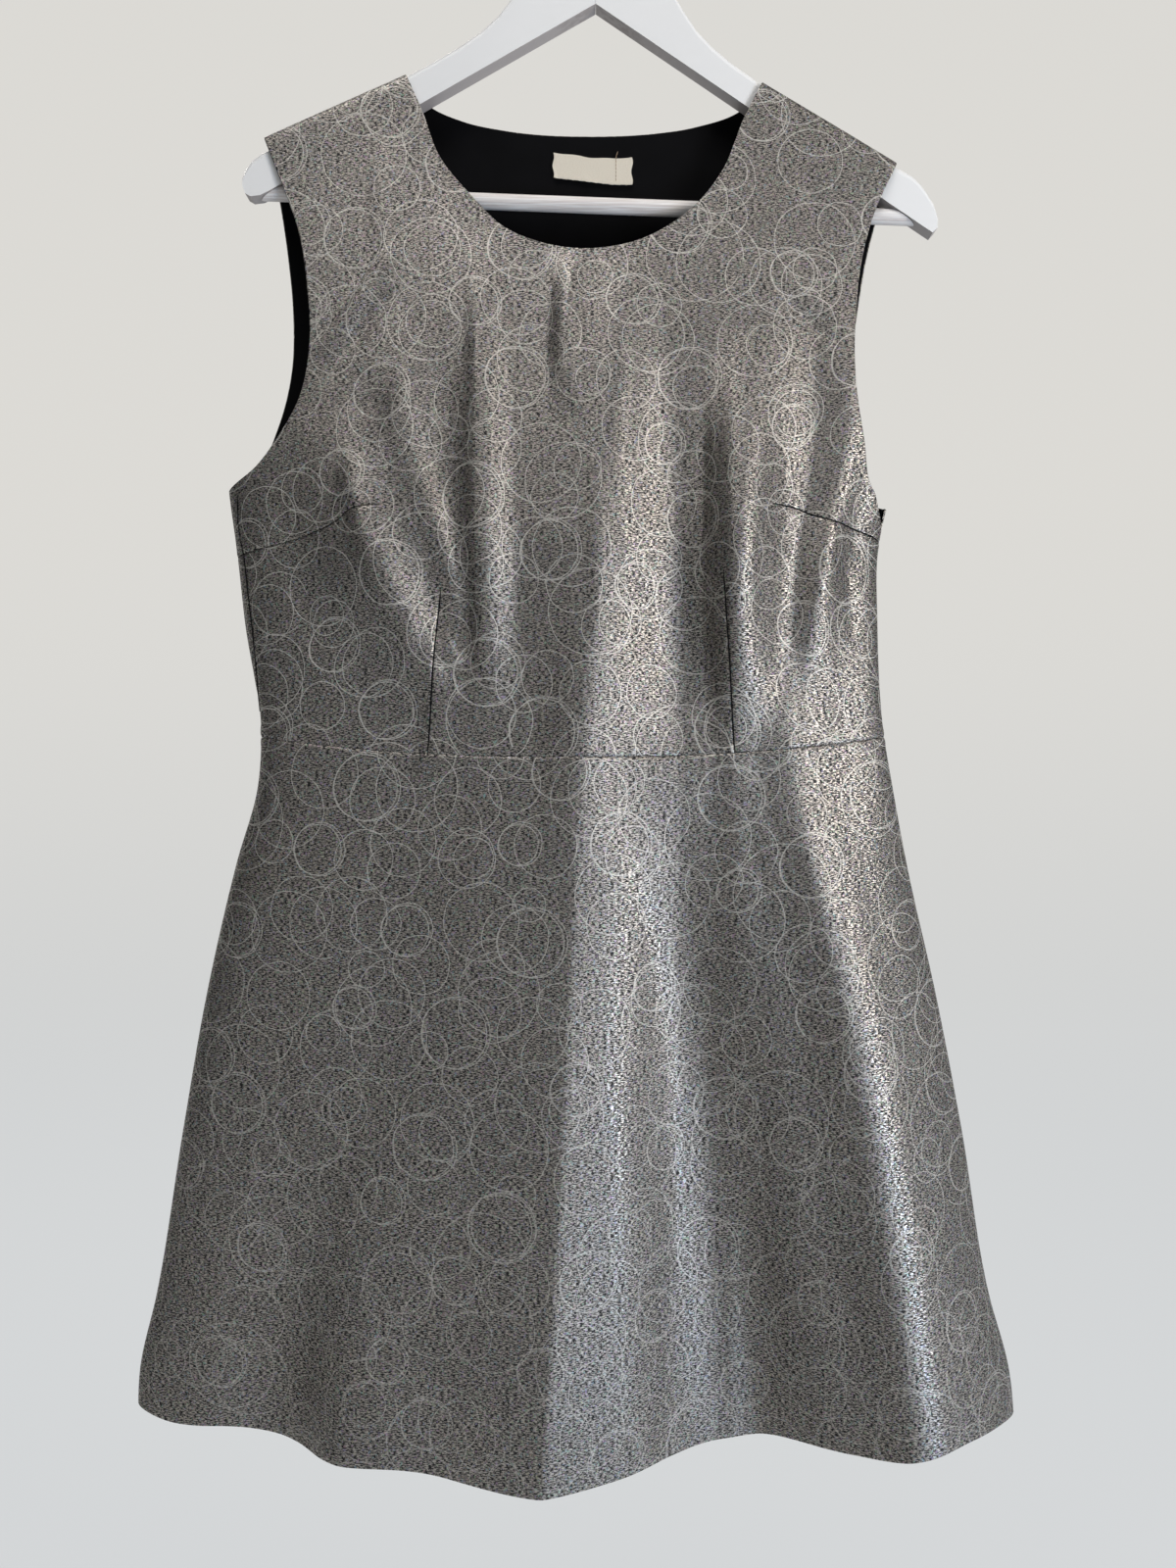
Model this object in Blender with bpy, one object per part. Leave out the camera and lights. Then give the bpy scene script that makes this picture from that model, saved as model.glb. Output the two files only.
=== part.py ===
"""A sleeveless fit and flare dress hanging on a flat wooden hanger, in metres with +Z up.

The origin is the inside top of the hanger's hook. The front of the dress faces -Y, and +X is the viewer's
right. The tables are in millimetres. The dress hangs as a flattened tube: a section gives, at one height,
where its left and right sides lie and how far its front and back belly out, and folds are added to that.
Each panel is a wall of cloth whose outer face lies on that tube. The hanger hangs a little lower on the
right, and the dress hangs straight down from it.
"""

import math

import bpy
import numpy as np
from mathutils import Matrix, Vector

MM = 0.001

# ---- Driving sizes, in millimetres ----------------------------------------------------------------

CLOTH_WALL = 1.2
LINING_WALL = 1.0
SEAM_GAP = 0.3  # between two pieces that are sewn together or lie on each other

FRONT_THICKNESS = 8.0  # how far the front stands off the side seam where it lies flattest
BACK_THICKNESS = 9.0  # the back also makes room for its lining
SIDE_POWER = 20  # how tightly the tube turns round its sides
BELLY_POWER = 2.2
BELLY_EASE = 0.8
SHOULDER_POWER = 2.4  # how square the cloth turns over the hanger's arm

SHOULDER_LEFT = ((-213.5, -182.7), (-124.0, -142.9))  # outer end, inner end
SHOULDER_RIGHT = ((189.0, -199.0), (104.0, -148.0))
WAIST_SIDE = -565.0
FRONT_WAIST_DIP = 13.5
BACK_WAIST_DIP = 4.0
WAIST_DIP_POWER = 2.3

HEM_COLUMNS = ("share", "height")  # the share runs from -1 at the left side to 1 at the right
FRONT_HEM = (
    (-1, -990),
    (-0.92, -994.5),
    (-0.78, -995),
    (-0.6, -1004),
    (-0.4, -1006),
    (-0.07, -1017),
    (0.2, -1010.5),
    (0.5, -1003),
    (0.65, -1001.5),
    (0.82, -993.5),
    (1, -995),
)
BACK_HEM = ((-1, -990), (-0.5, -999), (0, -1004), (0.5, -1001), (1, -995))

UNDERARM_LEFT = -408.0
UNDERARM_RIGHT_FRONT = -413.0
UNDERARM_RIGHT_BACK = -419.5
GAPE_WIDTH = 12.0  # the right seam stands open above the zip, by this at the underarm
GAPE_END = -443.0

SECTIONS_COLUMNS = ("height", "left", "right", "front_belly", "back_belly")
SECTIONS = (
    (-130, -236, 211, 0, 0),
    (-200, -236, 211, 2, 1),
    (-300, -237, 204, 14, 6),
    (-408, -237, 186, 27, 11),
    (-445, -232, 178, 30, 12),
    (-490, -227, 177.5, 28, 12),
    (-566, -216.5, 182, 25, 12),
    (-596, -218.5, 187, 25, 12),
    (-645, -232, 196, 27, 14),
    (-728, -251, 214.5, 29, 16),
    (-814, -266, 231, 31, 18),
    (-922, -283.5, 249, 33, 21),
    (-966, -293.5, 261, 34, 22),
    (-1025, -294.5, 266, 34, 22),
)

# A fold is a line down the cloth. Depth is how far it stands out there, or sinks in where it is negative,
# and the reaches are how far it spreads to either side. Sharpness 0 is a soft wave and 1 two planes that
# meet in a crest.
FOLD_COLUMNS = ("height", "across", "depth", "reach_left", "reach_right")
FRONT_FOLDS = (
    ("centre crest", 0.85, (
        (-262, 2, 0, 45, 40),
        (-330, -1, 2.5, 50, 45),
        (-450, -5, 4, 60, 55),
        (-570, -12, 8, 100, 62),
        (-800, -23, 17, 130, 72),
        (-1025, -36, 25, 155, 78),
    )),
    ("right valley", 0.1, (
        (-590, 45, 0, 50, 45),
        (-700, 58, -9, 62, 50),
        (-860, 82, -18, 74, 52),
        (-1025, 101, -26, 84, 54),
    )),
    ("right fold", 0.1, (
        (-560, 140, 0, 50, 50),
        (-700, 164, 13, 56, 58),
        (-860, 190, 23, 64, 66),
        (-1025, 211, 31, 70, 78),
    )),
    ("left hollow", 0.0, (
        (-820, -190, 0, 50, 35),
        (-930, -198, -7, 52, 34),
        (-1025, -202, -13, 52, 32),
    )),
    ("left fold", 0.1, (
        (-780, -130, 0, 40, 60),
        (-900, -146, 6, 36, 62),
        (-1025, -157, 13, 30, 64),
    )),
    ("left bust", 0.1, (
        (-360, -152, 0, 45, 40),
        (-416, -150, 6, 50, 42),
        (-467, -136, 10, 52, 40),
        (-520, -112, 6, 48, 36),
        (-562, -88, 0, 40, 30),
    )),
    ("left inner fold", 0.0, (
        (-290, -122, 0, 30, 26),
        (-350, -122, 3.5, 32, 26),
        (-400, -119, 4.5, 32, 24),
        (-485, -92, 0, 26, 20),
    )),
    ("left long fold", 0.2, (
        (-245, -75, 0, 26, 22),
        (-300, -74, 4, 28, 24),
        (-500, -72, 5, 26, 26),
        (-590, -72, 0, 30, 26),
    )),
    ("right inner valley", 0.0, (
        (-300, 48, 0, 34, 34),
        (-440, 46, -7, 36, 34),
        (-530, 47, -6, 36, 36),
        (-590, 50, 0, 34, 34),
    )),
    ("right bust", 0.1, (
        (-250, 100, 0, 34, 34),
        (-330, 102, 4, 36, 36),
        (-435, 88, 10, 40, 42),
        (-511, 92, 7, 38, 44),
        (-600, 138, 0, 40, 40),
    )),
    ("right side fold", 0.0, (
        (-425, 142, 0, 22, 22),
        (-460, 141, 4, 22, 24),
        (-530, 140, 2.5, 22, 24),
        (-575, 140, 0, 20, 22),
    )),
)
BACK_FOLDS = (
    ("left blade", 0.0, (
        (-240, -118, 0, 50, 50),
        (-380, -112, 6, 60, 55),
        (-500, -98, 4, 50, 50),
        (-575, -90, 0, 40, 40),
    )),
    ("right blade", 0.0, (
        (-240, 92, 0, 50, 50),
        (-380, 86, 6, 55, 60),
        (-500, 74, 4, 50, 50),
        (-575, 68, 0, 40, 40),
    )),
    ("left flare", 0.2, (
        (-600, -118, 0, 60, 50),
        (-760, -140, 8, 70, 62),
        (-1025, -166, 17, 82, 76),
    )),
    ("middle valley", 0.0, (
        (-600, -18, 0, 60, 60),
        (-760, -22, -5, 70, 70),
        (-1025, -28, -11, 84, 84),
    )),
    ("right flare", 0.2, (
        (-600, 78, 0, 50, 60),
        (-760, 100, 9, 62, 70),
        (-1025, 122, 18, 76, 84),
    )),
)

# Outlines on the cloth, as (across, height): the neck from left to right, the armholes from the underarm up.
NECK_FRONT = (
    (-112, -170),
    (-102, -197),
    (-81, -224),
    (-60, -245),
    (-34, -256),
    (-2, -259),
    (28, -252),
    (47, -241),
    (62, -228),
    (77, -208),
    (91, -174),
)
NECK_BACK = (
    (-110, -157.5), (-88, -167.5), (-60, -173.5), (-2, -177),
    (32, -175.5), (62, -171), (91, -160.5),
)
ARMHOLE_LEFT_FRONT = (
    (-217, -396), (-202, -378), (-188, -353), (-182, -320),
    (-184, -280), (-190, -245), (-202, -212),
)
ARMHOLE_LEFT_BACK = (
    (-222, -394), (-208, -364), (-199, -327), (-198, -290),
    (-201, -255), (-206, -220),
)
ARMHOLE_RIGHT_FRONT = (
    (170, -408), (165, -382), (160, -350), (159, -325),
    (160.6, -298), (165, -263), (173, -234),
)
ARMHOLE_RIGHT_BACK = (
    (170.5, -412.5), (164, -396), (161, -365), (162, -325),
    (166.5, -290), (172, -256), (178, -232),
)

# How the panels are divided: the shares of a bodice's height at its rows, close together where the cloth
# turns over the shoulder, and the columns of each stretch of an edge.
TOP_ROWS = (0.966, 0.984, 0.9925, 0.997, 0.9992, 1)
UNDERARM_ROWS = (0.4, 0.403, 0.412, 0.434)
FRONT_BODICE_ROWS = (0, 0.1, 0.2, 0.3, *UNDERARM_ROWS, 0.47, 0.54, 0.61, 0.68, 0.75, 0.82, 0.88, 0.93, *TOP_ROWS)
BACK_BODICE_ROWS = (0, 0.13, 0.27, *UNDERARM_ROWS, 0.5, 0.6, 0.7, 0.79, 0.87, 0.93, *TOP_ROWS)
UNDERARM_SHARE = 0.4
SHOULDER_SHARES = (0, 0.009, 0.037, 0.1, 0.24, 0.4, 0.56, 0.71, 0.86, 1)  # from the outer end to the neck
FRONT_NECK_COLUMNS = 18
BACK_NECK_COLUMNS = 13
NECK_END_SHARES = (0.0013, 0.005, 0.0125, 0.027)  # of the neck's length, where it turns over the arm
SIDE_SHARES = (0.0022, 0.009, 0.024)  # of the width, where the tube turns round its side
SKIRT_FRONT_COLUMNS = 36
SKIRT_BACK_COLUMNS = 26
SKIRT_FRONT_ROWS = 12
SKIRT_BACK_ROWS = 9
CREST_SHARES = (0.026, -0.078)  # the crest's place in the skirt front, at the waist and at the hem
LINING_BELOW_SHOULDER = 6.5  # the lining stops below the turn over the shoulder, where its rows lie
LINING_ROW_STEP = 1.2  # this far apart at least

LABEL_LEFT = -30.0
LABEL_RIGHT = 21.0
LABEL_TOP = -187.0
LABEL_BOTTOM = -207.5
LABEL_WALL = 1.0
LABEL_COLUMNS = 8
LABEL_ROWS = 3

ZIP_TOP = -449.0
ZIP_BOTTOM = -662.0
ZIP_WIDTH = 3.0
ZIP_THICKNESS = 2.2
ZIP_INSET = 2.4  # from the outside of the seam
ZIP_RINGS = 13

HANGER_TILT = math.radians(2.2)
HANGER_SHIFT = 1.2  # the arms hang this far to the right of the hook's middle
HANGER_HALF_THICKNESS = 6.0
HANGER_APEX = -99.3  # the inner corner under the neck
HANGER_UNDERSIDE_SLOPE = 0.6247
HANGER_TOP_ROUND = 4.5
HANGER_ROUND_STEPS = 4
HANGER_NECK = ((0, -54), (14, -54.8), (26, -58), (35, -64.5), (41, -74))
# The arms were shaped by hand, so they differ a little: (from the middle, upper edge), then the tips.
ARM_TOPS = {
    "left": (
        (47, -86),
        (54.3, -97.6),
        (61.3, -107.4),
        (71.5, -117.8),
        (85.5, -128.3),
        (102, -138.9),
        (111, -144.2),
        (140, -161.5),
        (170, -179.2),
        (196, -194.3),
    ),
    "right": (
        (46.5, -84.5),
        (52, -94),
        (57.9, -102.9),
        (65, -112.6),
        (75, -122.3),
        (87, -131.8),
        (108.4, -145.6),
        (130, -157.8),
        (160, -174.8),
        (194, -194.0),
    ),
}
TIP_COLUMNS = ("across", "underside", "top")
ARM_TIPS = {
    "left": (
        (203, -226.1, -198.1),
        (208.4, -229, -201),
        (214.5, -230, -205.8),
        (218, -228.2, -211.2),
        (220, -223, -217.5),
    ),
    "right": (
        (205.2, -227.5, -199.5),
        (210, -230.5, -203.8),
        (213.7, -232.8, -208.1),
        (219.6, -236.4, -216.6),
        (222.5, -233, -226),
    ),
}

BAR_HEIGHT = -225.0
BAR_RADIUS = 5.0
BAR_SIDES = 16

HOOK_WIRE = 1.9  # radius
HOOK_INSIDE = 19.0  # radius of the round part's inner edge
HOOK_START_ANGLE = -65.0
HOOK_END_ANGLE = 202.0
HOOK_STEM_END = -53.6
FERRULE_BOTTOM = -53.7
FERRULE_TOP = -50.6
FERRULE_RADIUS = 4.6
FERRULE_HOLE = 2.3
FERRULE_SIDES = 20


# ---- Curves and tables ------------------------------------------------------------------------------


def curve_at(positions, values, at):
    """The value at each place of a smooth curve through the stations, level past both ends."""
    order = np.argsort(positions)
    place = np.asarray(positions, float)[order]
    value = np.asarray(values, float)[order]
    slope = np.gradient(value, place)
    at = np.clip(at, place[0], place[-1])
    i = np.clip(np.searchsorted(place, at) - 1, 0, len(place) - 2)
    span = place[i + 1] - place[i]
    u = (at - place[i]) / span
    start = (1 + 2 * u) * (1 - u) ** 2 * value[i] + u * (1 - u) ** 2 * span * slope[i]
    end = u * u * (3 - 2 * u) * value[i + 1] + u * u * (u - 1) * span * slope[i + 1]
    return start + end


def column(table, names, name):
    return [row[names.index(name)] for row in table]


def section(name, height):
    """One column of the sections table at any height."""
    heights = column(SECTIONS, SECTIONS_COLUMNS, "height")
    return curve_at(heights, column(SECTIONS, SECTIONS_COLUMNS, name), height)


def points_along(outline, shares):
    """Points at these shares of the length of a smooth curve through an outline's points."""
    points = np.array(outline, float)
    travel = np.concatenate([[0], np.cumsum(np.hypot(*np.diff(points, axis=0).T))])
    fine = np.linspace(0, travel[-1], 40 * len(points))
    across = curve_at(travel, points[:, 0], fine)
    height = curve_at(travel, points[:, 1], fine)
    length = np.concatenate([[0], np.cumsum(np.hypot(np.diff(across), np.diff(height)))])
    wanted = np.asarray(shares) * length[-1]
    return np.column_stack([np.interp(wanted, length, across), np.interp(wanted, length, height)])


# ---- The hanging tube of cloth --------------------------------------------------------------------


def shoulder_line(shoulder, across):
    (x0, z0), (x1, z1) = shoulder
    return z0 + (z1 - z0) * (across - x0) / (x1 - x0)


def roof_height(across):
    """The height of the shoulder seams, carried on past the neck as a tent."""
    return np.minimum(shoulder_line(SHOULDER_LEFT, across), shoulder_line(SHOULDER_RIGHT, across))


def fold_rise(offset, reach_left, reach_right, sharpness):
    """From 1 on a fold's line to 0 at its reach on either side."""
    share = np.clip(np.where(offset < 0, -offset / reach_left, offset / reach_right), 0, 1)
    wave = np.cos(share * math.pi / 2) ** 2
    crest_round = 0.05
    sloped = (np.hypot(share, crest_round) - crest_round) / (math.hypot(1, crest_round) - crest_round)
    planes = (1 - sloped) ** 1.25
    return sharpness * planes + (1 - sharpness) * wave


def folds_depth(folds, across, height):
    depth = 0.0
    for _, sharpness, rows in folds:
        heights = column(rows, FOLD_COLUMNS, "height")
        at = {name: curve_at(heights, column(rows, FOLD_COLUMNS, name), height) for name in FOLD_COLUMNS[1:]}
        rise = fold_rise(across - at["across"], at["reach_left"], at["reach_right"], sharpness)
        depth = depth + at["depth"] * rise
    return depth


def depth_at(side, across, height):
    """How far the outer face of the front (side -1) or back (side 1) stands off the side seams' plane."""
    left = section("left", height)
    right = section("right", height)
    share = np.clip(np.abs(across - (left + right) / 2) / ((right - left) / 2), 0, 1)
    thickness = FRONT_THICKNESS if side < 0 else BACK_THICKNESS
    turn = np.sqrt(1 - share**SIDE_POWER)
    fullness = section("front_belly" if side < 0 else "back_belly", height)
    belly = fullness * (1 - share**BELLY_POWER) ** BELLY_EASE
    folds = folds_depth(FRONT_FOLDS if side < 0 else BACK_FOLDS, across, height)
    below = np.clip((roof_height(across) - height) / thickness, 0, 1)
    over_shoulder = (1 - (1 - below) ** SHOULDER_POWER) ** (1 / SHOULDER_POWER)
    return over_shoulder * (turn * (thickness + folds) + belly)


def outer_points(side, across, height):
    depth = depth_at(side, across, height)
    return np.stack([across, side * (SEAM_GAP / 2 + depth), height], axis=-1)


def outward(side, across, height):
    """Unit normals of the outer face. On a seam they lie in the seam's plane, so that both pieces agree."""
    step = 0.2
    slope_across = (depth_at(side, across + step, height) - depth_at(side, across - step, height)) / (2 * step)
    slope_up = (depth_at(side, across, height + step) - depth_at(side, across, height - step)) / (2 * step)
    on_seam = depth_at(side, across, height) < 0.01
    facing = np.where(on_seam, 0.0, side)
    normal = np.stack([-slope_across, facing, -slope_up], axis=-1)
    return normal / np.linalg.norm(normal, axis=-1, keepdims=True)


# ---- Panels ------------------------------------------------------------------------------------------


def side_shares(count):
    """Shares from -1 to 1 across a panel, even in the middle and close together where it turns round."""
    middle = np.linspace(-1, 1, count + 1)[1:-1]
    ends = [1 - 2 * share for share in SIDE_SHARES]
    return np.array([-1, *(-np.array(ends)), *middle, *reversed(ends), 1])


def waist_height(side, share):
    dip = FRONT_WAIST_DIP if side < 0 else BACK_WAIST_DIP
    return WAIST_SIDE - dip * (1 - np.abs(share) ** WAIST_DIP_POWER)


def hem_height(side, share):
    rows = FRONT_HEM if side < 0 else BACK_HEM
    return curve_at(column(rows, HEM_COLUMNS, "share"), column(rows, HEM_COLUMNS, "height"), share)


def across_at(share, height):
    left = section("left", height)
    right = section("right", height)
    return (left + right) / 2 + share * (right - left) / 2


def skirt_grid(side, columns, rows):
    """(across, height) of a skirt panel, from the hem's left end up to the waist's right end.

    The middle column of the front follows the crest of the centre fold."""
    share = side_shares(columns)[np.newaxis, :]
    rise = np.linspace(0, 1, rows + 1)[:, np.newaxis]
    if side < 0:
        waist_share, hem_share = CREST_SHARES
        share = share + (1 - np.abs(share)) * (hem_share + (waist_share - hem_share) * rise)
    height = hem_height(side, share) * (1 - rise) + (waist_height(side, share) - SEAM_GAP / 2) * rise
    return across_at(share, height), height


def armhole_edge(name, side, row_shares):
    """A bodice's left or right edge from the waist up: its side seam, then its armhole."""
    left = name == "left"
    shoulder = (SHOULDER_LEFT if left else SHOULDER_RIGHT)[0]
    right_underarm = UNDERARM_RIGHT_FRONT if side < 0 else UNDERARM_RIGHT_BACK
    underarm = UNDERARM_LEFT if left else right_underarm
    curves = {
        ("left", -1): ARMHOLE_LEFT_FRONT,
        ("left", 1): ARMHOLE_LEFT_BACK,
        ("right", -1): ARMHOLE_RIGHT_FRONT,
        ("right", 1): ARMHOLE_RIGHT_BACK,
    }
    seam_share = np.clip(row_shares / UNDERARM_SHARE, 0, 1)
    seam_height = WAIST_SIDE + SEAM_GAP / 2 + (underarm - WAIST_SIDE - SEAM_GAP / 2) * seam_share
    seam_across = section(name, seam_height)
    if side < 0 and not left:
        open_share = np.clip((seam_height - GAPE_END) / (underarm - GAPE_END), 0, 1)
        seam_across = seam_across - GAPE_WIDTH * open_share
    underarm_point = (seam_across[-1], underarm)
    arm_shares = np.clip((row_shares - UNDERARM_SHARE) / (1 - UNDERARM_SHARE), 0, 1)
    arm = points_along((underarm_point, *curves[name, side], shoulder), arm_shares)
    on_seam = row_shares <= UNDERARM_SHARE
    return np.column_stack([
        np.where(on_seam, seam_across, arm[:, 0]),
        np.where(on_seam, seam_height, arm[:, 1]),
    ])


def top_edge(side, neck_columns):
    """The shoulder and neck edge from left to right, with a column on each corner."""
    outer_left, inner_left = map(np.array, SHOULDER_LEFT)
    outer_right, inner_right = map(np.array, SHOULDER_RIGHT)
    closer = np.array(SHOULDER_SHARES)[:, np.newaxis]
    neck = NECK_FRONT if side < 0 else NECK_BACK
    ends = np.array(NECK_END_SHARES)
    middle = np.linspace(0, 1, neck_columns + 1)[1:-1]
    neck_shares = np.concatenate([[0], ends, middle, (1 - ends)[::-1], [1]])
    neck_points = points_along((tuple(inner_left), *neck, tuple(inner_right)), neck_shares)
    left = outer_left + (inner_left - outer_left) * closer
    right = (outer_right + (inner_right - outer_right) * closer)[::-1]
    return np.concatenate([left[:-1], neck_points, right[1:]])


def bodice_grid(side, row_shares, neck_columns):
    """(across, height) of a bodice panel: a patch blended between its four edges."""
    rows = np.array(row_shares, float)
    left = armhole_edge("left", side, rows)
    right = armhole_edge("right", side, rows)
    top = top_edge(side, neck_columns)
    share = side_shares(len(top) - 1 - 2 * len(SIDE_SHARES))
    height = waist_height(side, share) + SEAM_GAP / 2
    bottom = np.column_stack([across_at(share, height), height])
    s = (share[np.newaxis, :, np.newaxis] + 1) / 2
    t = rows[:, np.newaxis, np.newaxis]
    ruled = (1 - t) * bottom + t * top + (1 - s) * left[:, np.newaxis] + s * right[:, np.newaxis]
    corners = (1 - t) * ((1 - s) * bottom[0] + s * bottom[-1]) + t * ((1 - s) * top[0] + s * top[-1])
    grid = ruled - corners
    return grid[..., 0], grid[..., 1]


def wall_faces(rows, columns, side):
    """Faces of a wall whose outer grid comes first and whose inner grid follows, closed by a rim.

    The quads are split along their shorter diagonals, which lean inward going up. Walls that lie on each
    other are split alike, so they stay apart."""
    inner = rows * columns

    def at(row, col):
        return row * columns + col

    faces = []
    for row in range(rows - 1):
        for col in range(columns - 1):
            low_left, low_right = at(row, col), at(row, col + 1)
            high_left, high_right = at(row + 1, col), at(row + 1, col + 1)
            if col < (columns - 1) / 2:
                halves = ((low_left, low_right, high_left), (low_right, high_right, high_left))
            else:
                halves = ((low_left, low_right, high_right), (low_left, high_right, high_left))
            for half in halves:
                faces.append(half)
                faces.append(tuple(inner + i for i in reversed(half)))
    ring = [at(0, col) for col in range(columns)]
    ring += [at(row, columns - 1) for row in range(1, rows)]
    ring += [at(rows - 1, col) for col in range(columns - 2, -1, -1)]
    ring += [at(row, 0) for row in range(rows - 2, 0, -1)]
    for a, b in zip(ring, ring[1:] + ring[:1]):
        faces.append((b, a, inner + a, inner + b))
    return faces if side < 0 else [tuple(reversed(face)) for face in faces]


def add_object(name, points, faces, finish):
    mesh = bpy.data.meshes.new(name)
    mesh.from_pydata([tuple(point) for point in points], [], faces)
    mesh.shade_smooth()
    mesh.set_sharp_from_angle(angle=math.radians(40))
    mesh.materials.append(finish)
    obj = bpy.data.objects.new(name, mesh)
    bpy.context.scene.collection.objects.link(obj)
    return obj


def add_wall(name, side, grid, start, wall, finish):
    """A wall of cloth that starts this far inside the tube's outer face."""
    across, height = grid
    outer = outer_points(side, across, height)
    normal = outward(side, across, height)
    shell = np.concatenate([
        (outer - start * normal).reshape(-1, 3),
        (outer - (start + wall) * normal).reshape(-1, 3),
    ])
    return add_object(name, shell * MM, wall_faces(*across.shape, side), finish)


def make_lining(grid, finish):
    """The lining lies on the back's own points, just inside its edges and below the shoulder's turn."""
    across = grid[0][:-1, 1:-1]
    height = grid[1][:-1, 1:-1]
    rows_down = np.arange(len(height))[::-1, np.newaxis]
    roof = roof_height(across) - LINING_BELOW_SHOULDER - LINING_ROW_STEP * rows_down
    height = np.minimum(height, roof)
    add_wall("bodice_back_lining", 1, (across, height), CLOTH_WALL + SEAM_GAP, LINING_WALL, finish)


def make_label(finish):
    across, height = np.meshgrid(
        np.linspace(LABEL_LEFT, LABEL_RIGHT, LABEL_COLUMNS + 1),
        np.linspace(LABEL_BOTTOM, LABEL_TOP, LABEL_ROWS + 1),
    )
    start = CLOTH_WALL + LINING_WALL + 2 * SEAM_GAP
    add_wall("neck_label", 1, (across, height), start, LABEL_WALL, finish)


def make_zip(finish):
    """The closed tape and coil of the concealed zip, a slim bar inside the right side seam."""
    heights = np.linspace(ZIP_BOTTOM, ZIP_TOP, ZIP_RINGS)
    outside = section("right", heights) - ZIP_INSET
    corners = ((-ZIP_THICKNESS, -1), (0, -1), (0, 1), (-ZIP_THICKNESS, 1))
    points = [(x + dx, y * ZIP_WIDTH / 2, z) for x, z in zip(outside, heights) for dx, y in corners]
    add_object("side_zip", np.array(points) * MM, tube_faces(ZIP_RINGS, len(corners)), finish)


# ---- Hanger ------------------------------------------------------------------------------------------


def tube_faces(rings, sides):
    """Faces of a closed tube of rings, each ring's points running the same way round."""
    faces = [tuple(reversed(range(sides)))]
    for ring in range(rings - 1):
        low = ring * sides
        for i in range(sides):
            j = (i + 1) % sides
            faces.append((low + i, low + j, low + sides + j, low + sides + i))
    last = (rings - 1) * sides
    faces.append(tuple(range(last, last + sides)))
    return faces


def hanger_underside(across):
    return HANGER_APEX - HANGER_UNDERSIDE_SLOPE * across


def arm_stations(name):
    """(distance from the middle, underside, top) of the slices along an arm."""
    stations = []
    for across, top in HANGER_NECK + ARM_TOPS[name]:
        inside = max(across, SEAM_GAP / 2)
        stations.append((inside, hanger_underside(inside), top))
    return stations + list(ARM_TIPS[name])


def arm_ring(inside, bottom, top):
    """One slice across an arm: square below, rounded above, running counter-clockwise seen from its tip."""
    half = HANGER_HALF_THICKNESS
    radius = min(HANGER_TOP_ROUND, (top - bottom) * 0.45)
    ring = [(inside, -half, bottom), (inside, half, bottom)]
    for step in range(2 * HANGER_ROUND_STEPS + 2):
        on_back = step <= HANGER_ROUND_STEPS
        quarter = step if on_back else step - 1
        angle = math.pi / 2 * quarter / HANGER_ROUND_STEPS
        centre = half - radius if on_back else radius - half
        ring.append((inside, centre + radius * math.cos(angle), top - radius + radius * math.sin(angle)))
    return ring


def make_arm(name, finish):
    direction = -1 if name == "left" else 1
    rings = [arm_ring(*station) for station in arm_stations(name)]
    points = [(direction * x, y, z) for ring in rings for x, y, z in ring]
    faces = tube_faces(len(rings), len(rings[0]))
    if direction < 0:
        faces = [tuple(reversed(face)) for face in faces]
    return add_object("hanger_arm_" + name, np.array(points) * MM, faces, finish)


def make_bar(finish):
    """The round bar, its ends cut to the slope of the arms' undersides."""
    rings = []
    for direction in (-1, 1):
        for i in range(BAR_SIDES):
            angle = 2 * math.pi * i / BAR_SIDES
            height = BAR_HEIGHT + BAR_RADIUS * math.sin(angle)
            reach = (HANGER_APEX - height) / HANGER_UNDERSIDE_SLOPE - 2 * SEAM_GAP
            rings.append((direction * reach, BAR_RADIUS * math.cos(angle), height))
    return add_object("hanger_bar", np.array(rings) * MM, tube_faces(2, BAR_SIDES), finish)


def hook_path():
    """The wire's middle: up from the wood, out to the right in a short arc, then round to the left."""
    radius = HOOK_INSIDE + HOOK_WIRE
    start = math.radians(HOOK_START_ANGLE)
    join = (radius * math.cos(start), -HOOK_INSIDE + radius * math.sin(start))
    bend = join[0] / (1 - math.cos(start))
    bend_start = join[1] - bend * math.sin(-start)
    path = [(0.0, HOOK_STEM_END), (0.0, bend_start)]
    for step in range(1, 6):
        turned = -start * step / 5
        path.append((bend * (1 - math.cos(turned)), bend_start + bend * math.sin(turned)))
    for step in range(1, 23):
        angle = start + (math.radians(HOOK_END_ANGLE) - start) * step / 22
        path.append((radius * math.cos(angle), -HOOK_INSIDE + radius * math.sin(angle)))
    return path


def make_hook(finish):
    curve = bpy.data.curves.new("hanger_hook", "CURVE")
    curve.dimensions = "3D"
    curve.bevel_depth = HOOK_WIRE * MM
    curve.bevel_resolution = 3
    curve.use_fill_caps = True
    path = hook_path()
    spline = curve.splines.new("POLY")
    spline.points.add(len(path) - 1)
    for point, (across, height) in zip(spline.points, path):
        point.co = (across * MM, 0, height * MM, 1)
    spline.use_smooth = True
    curve.materials.append(finish)
    obj = bpy.data.objects.new("hanger_hook", curve)
    bpy.context.scene.collection.objects.link(obj)
    return obj


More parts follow.
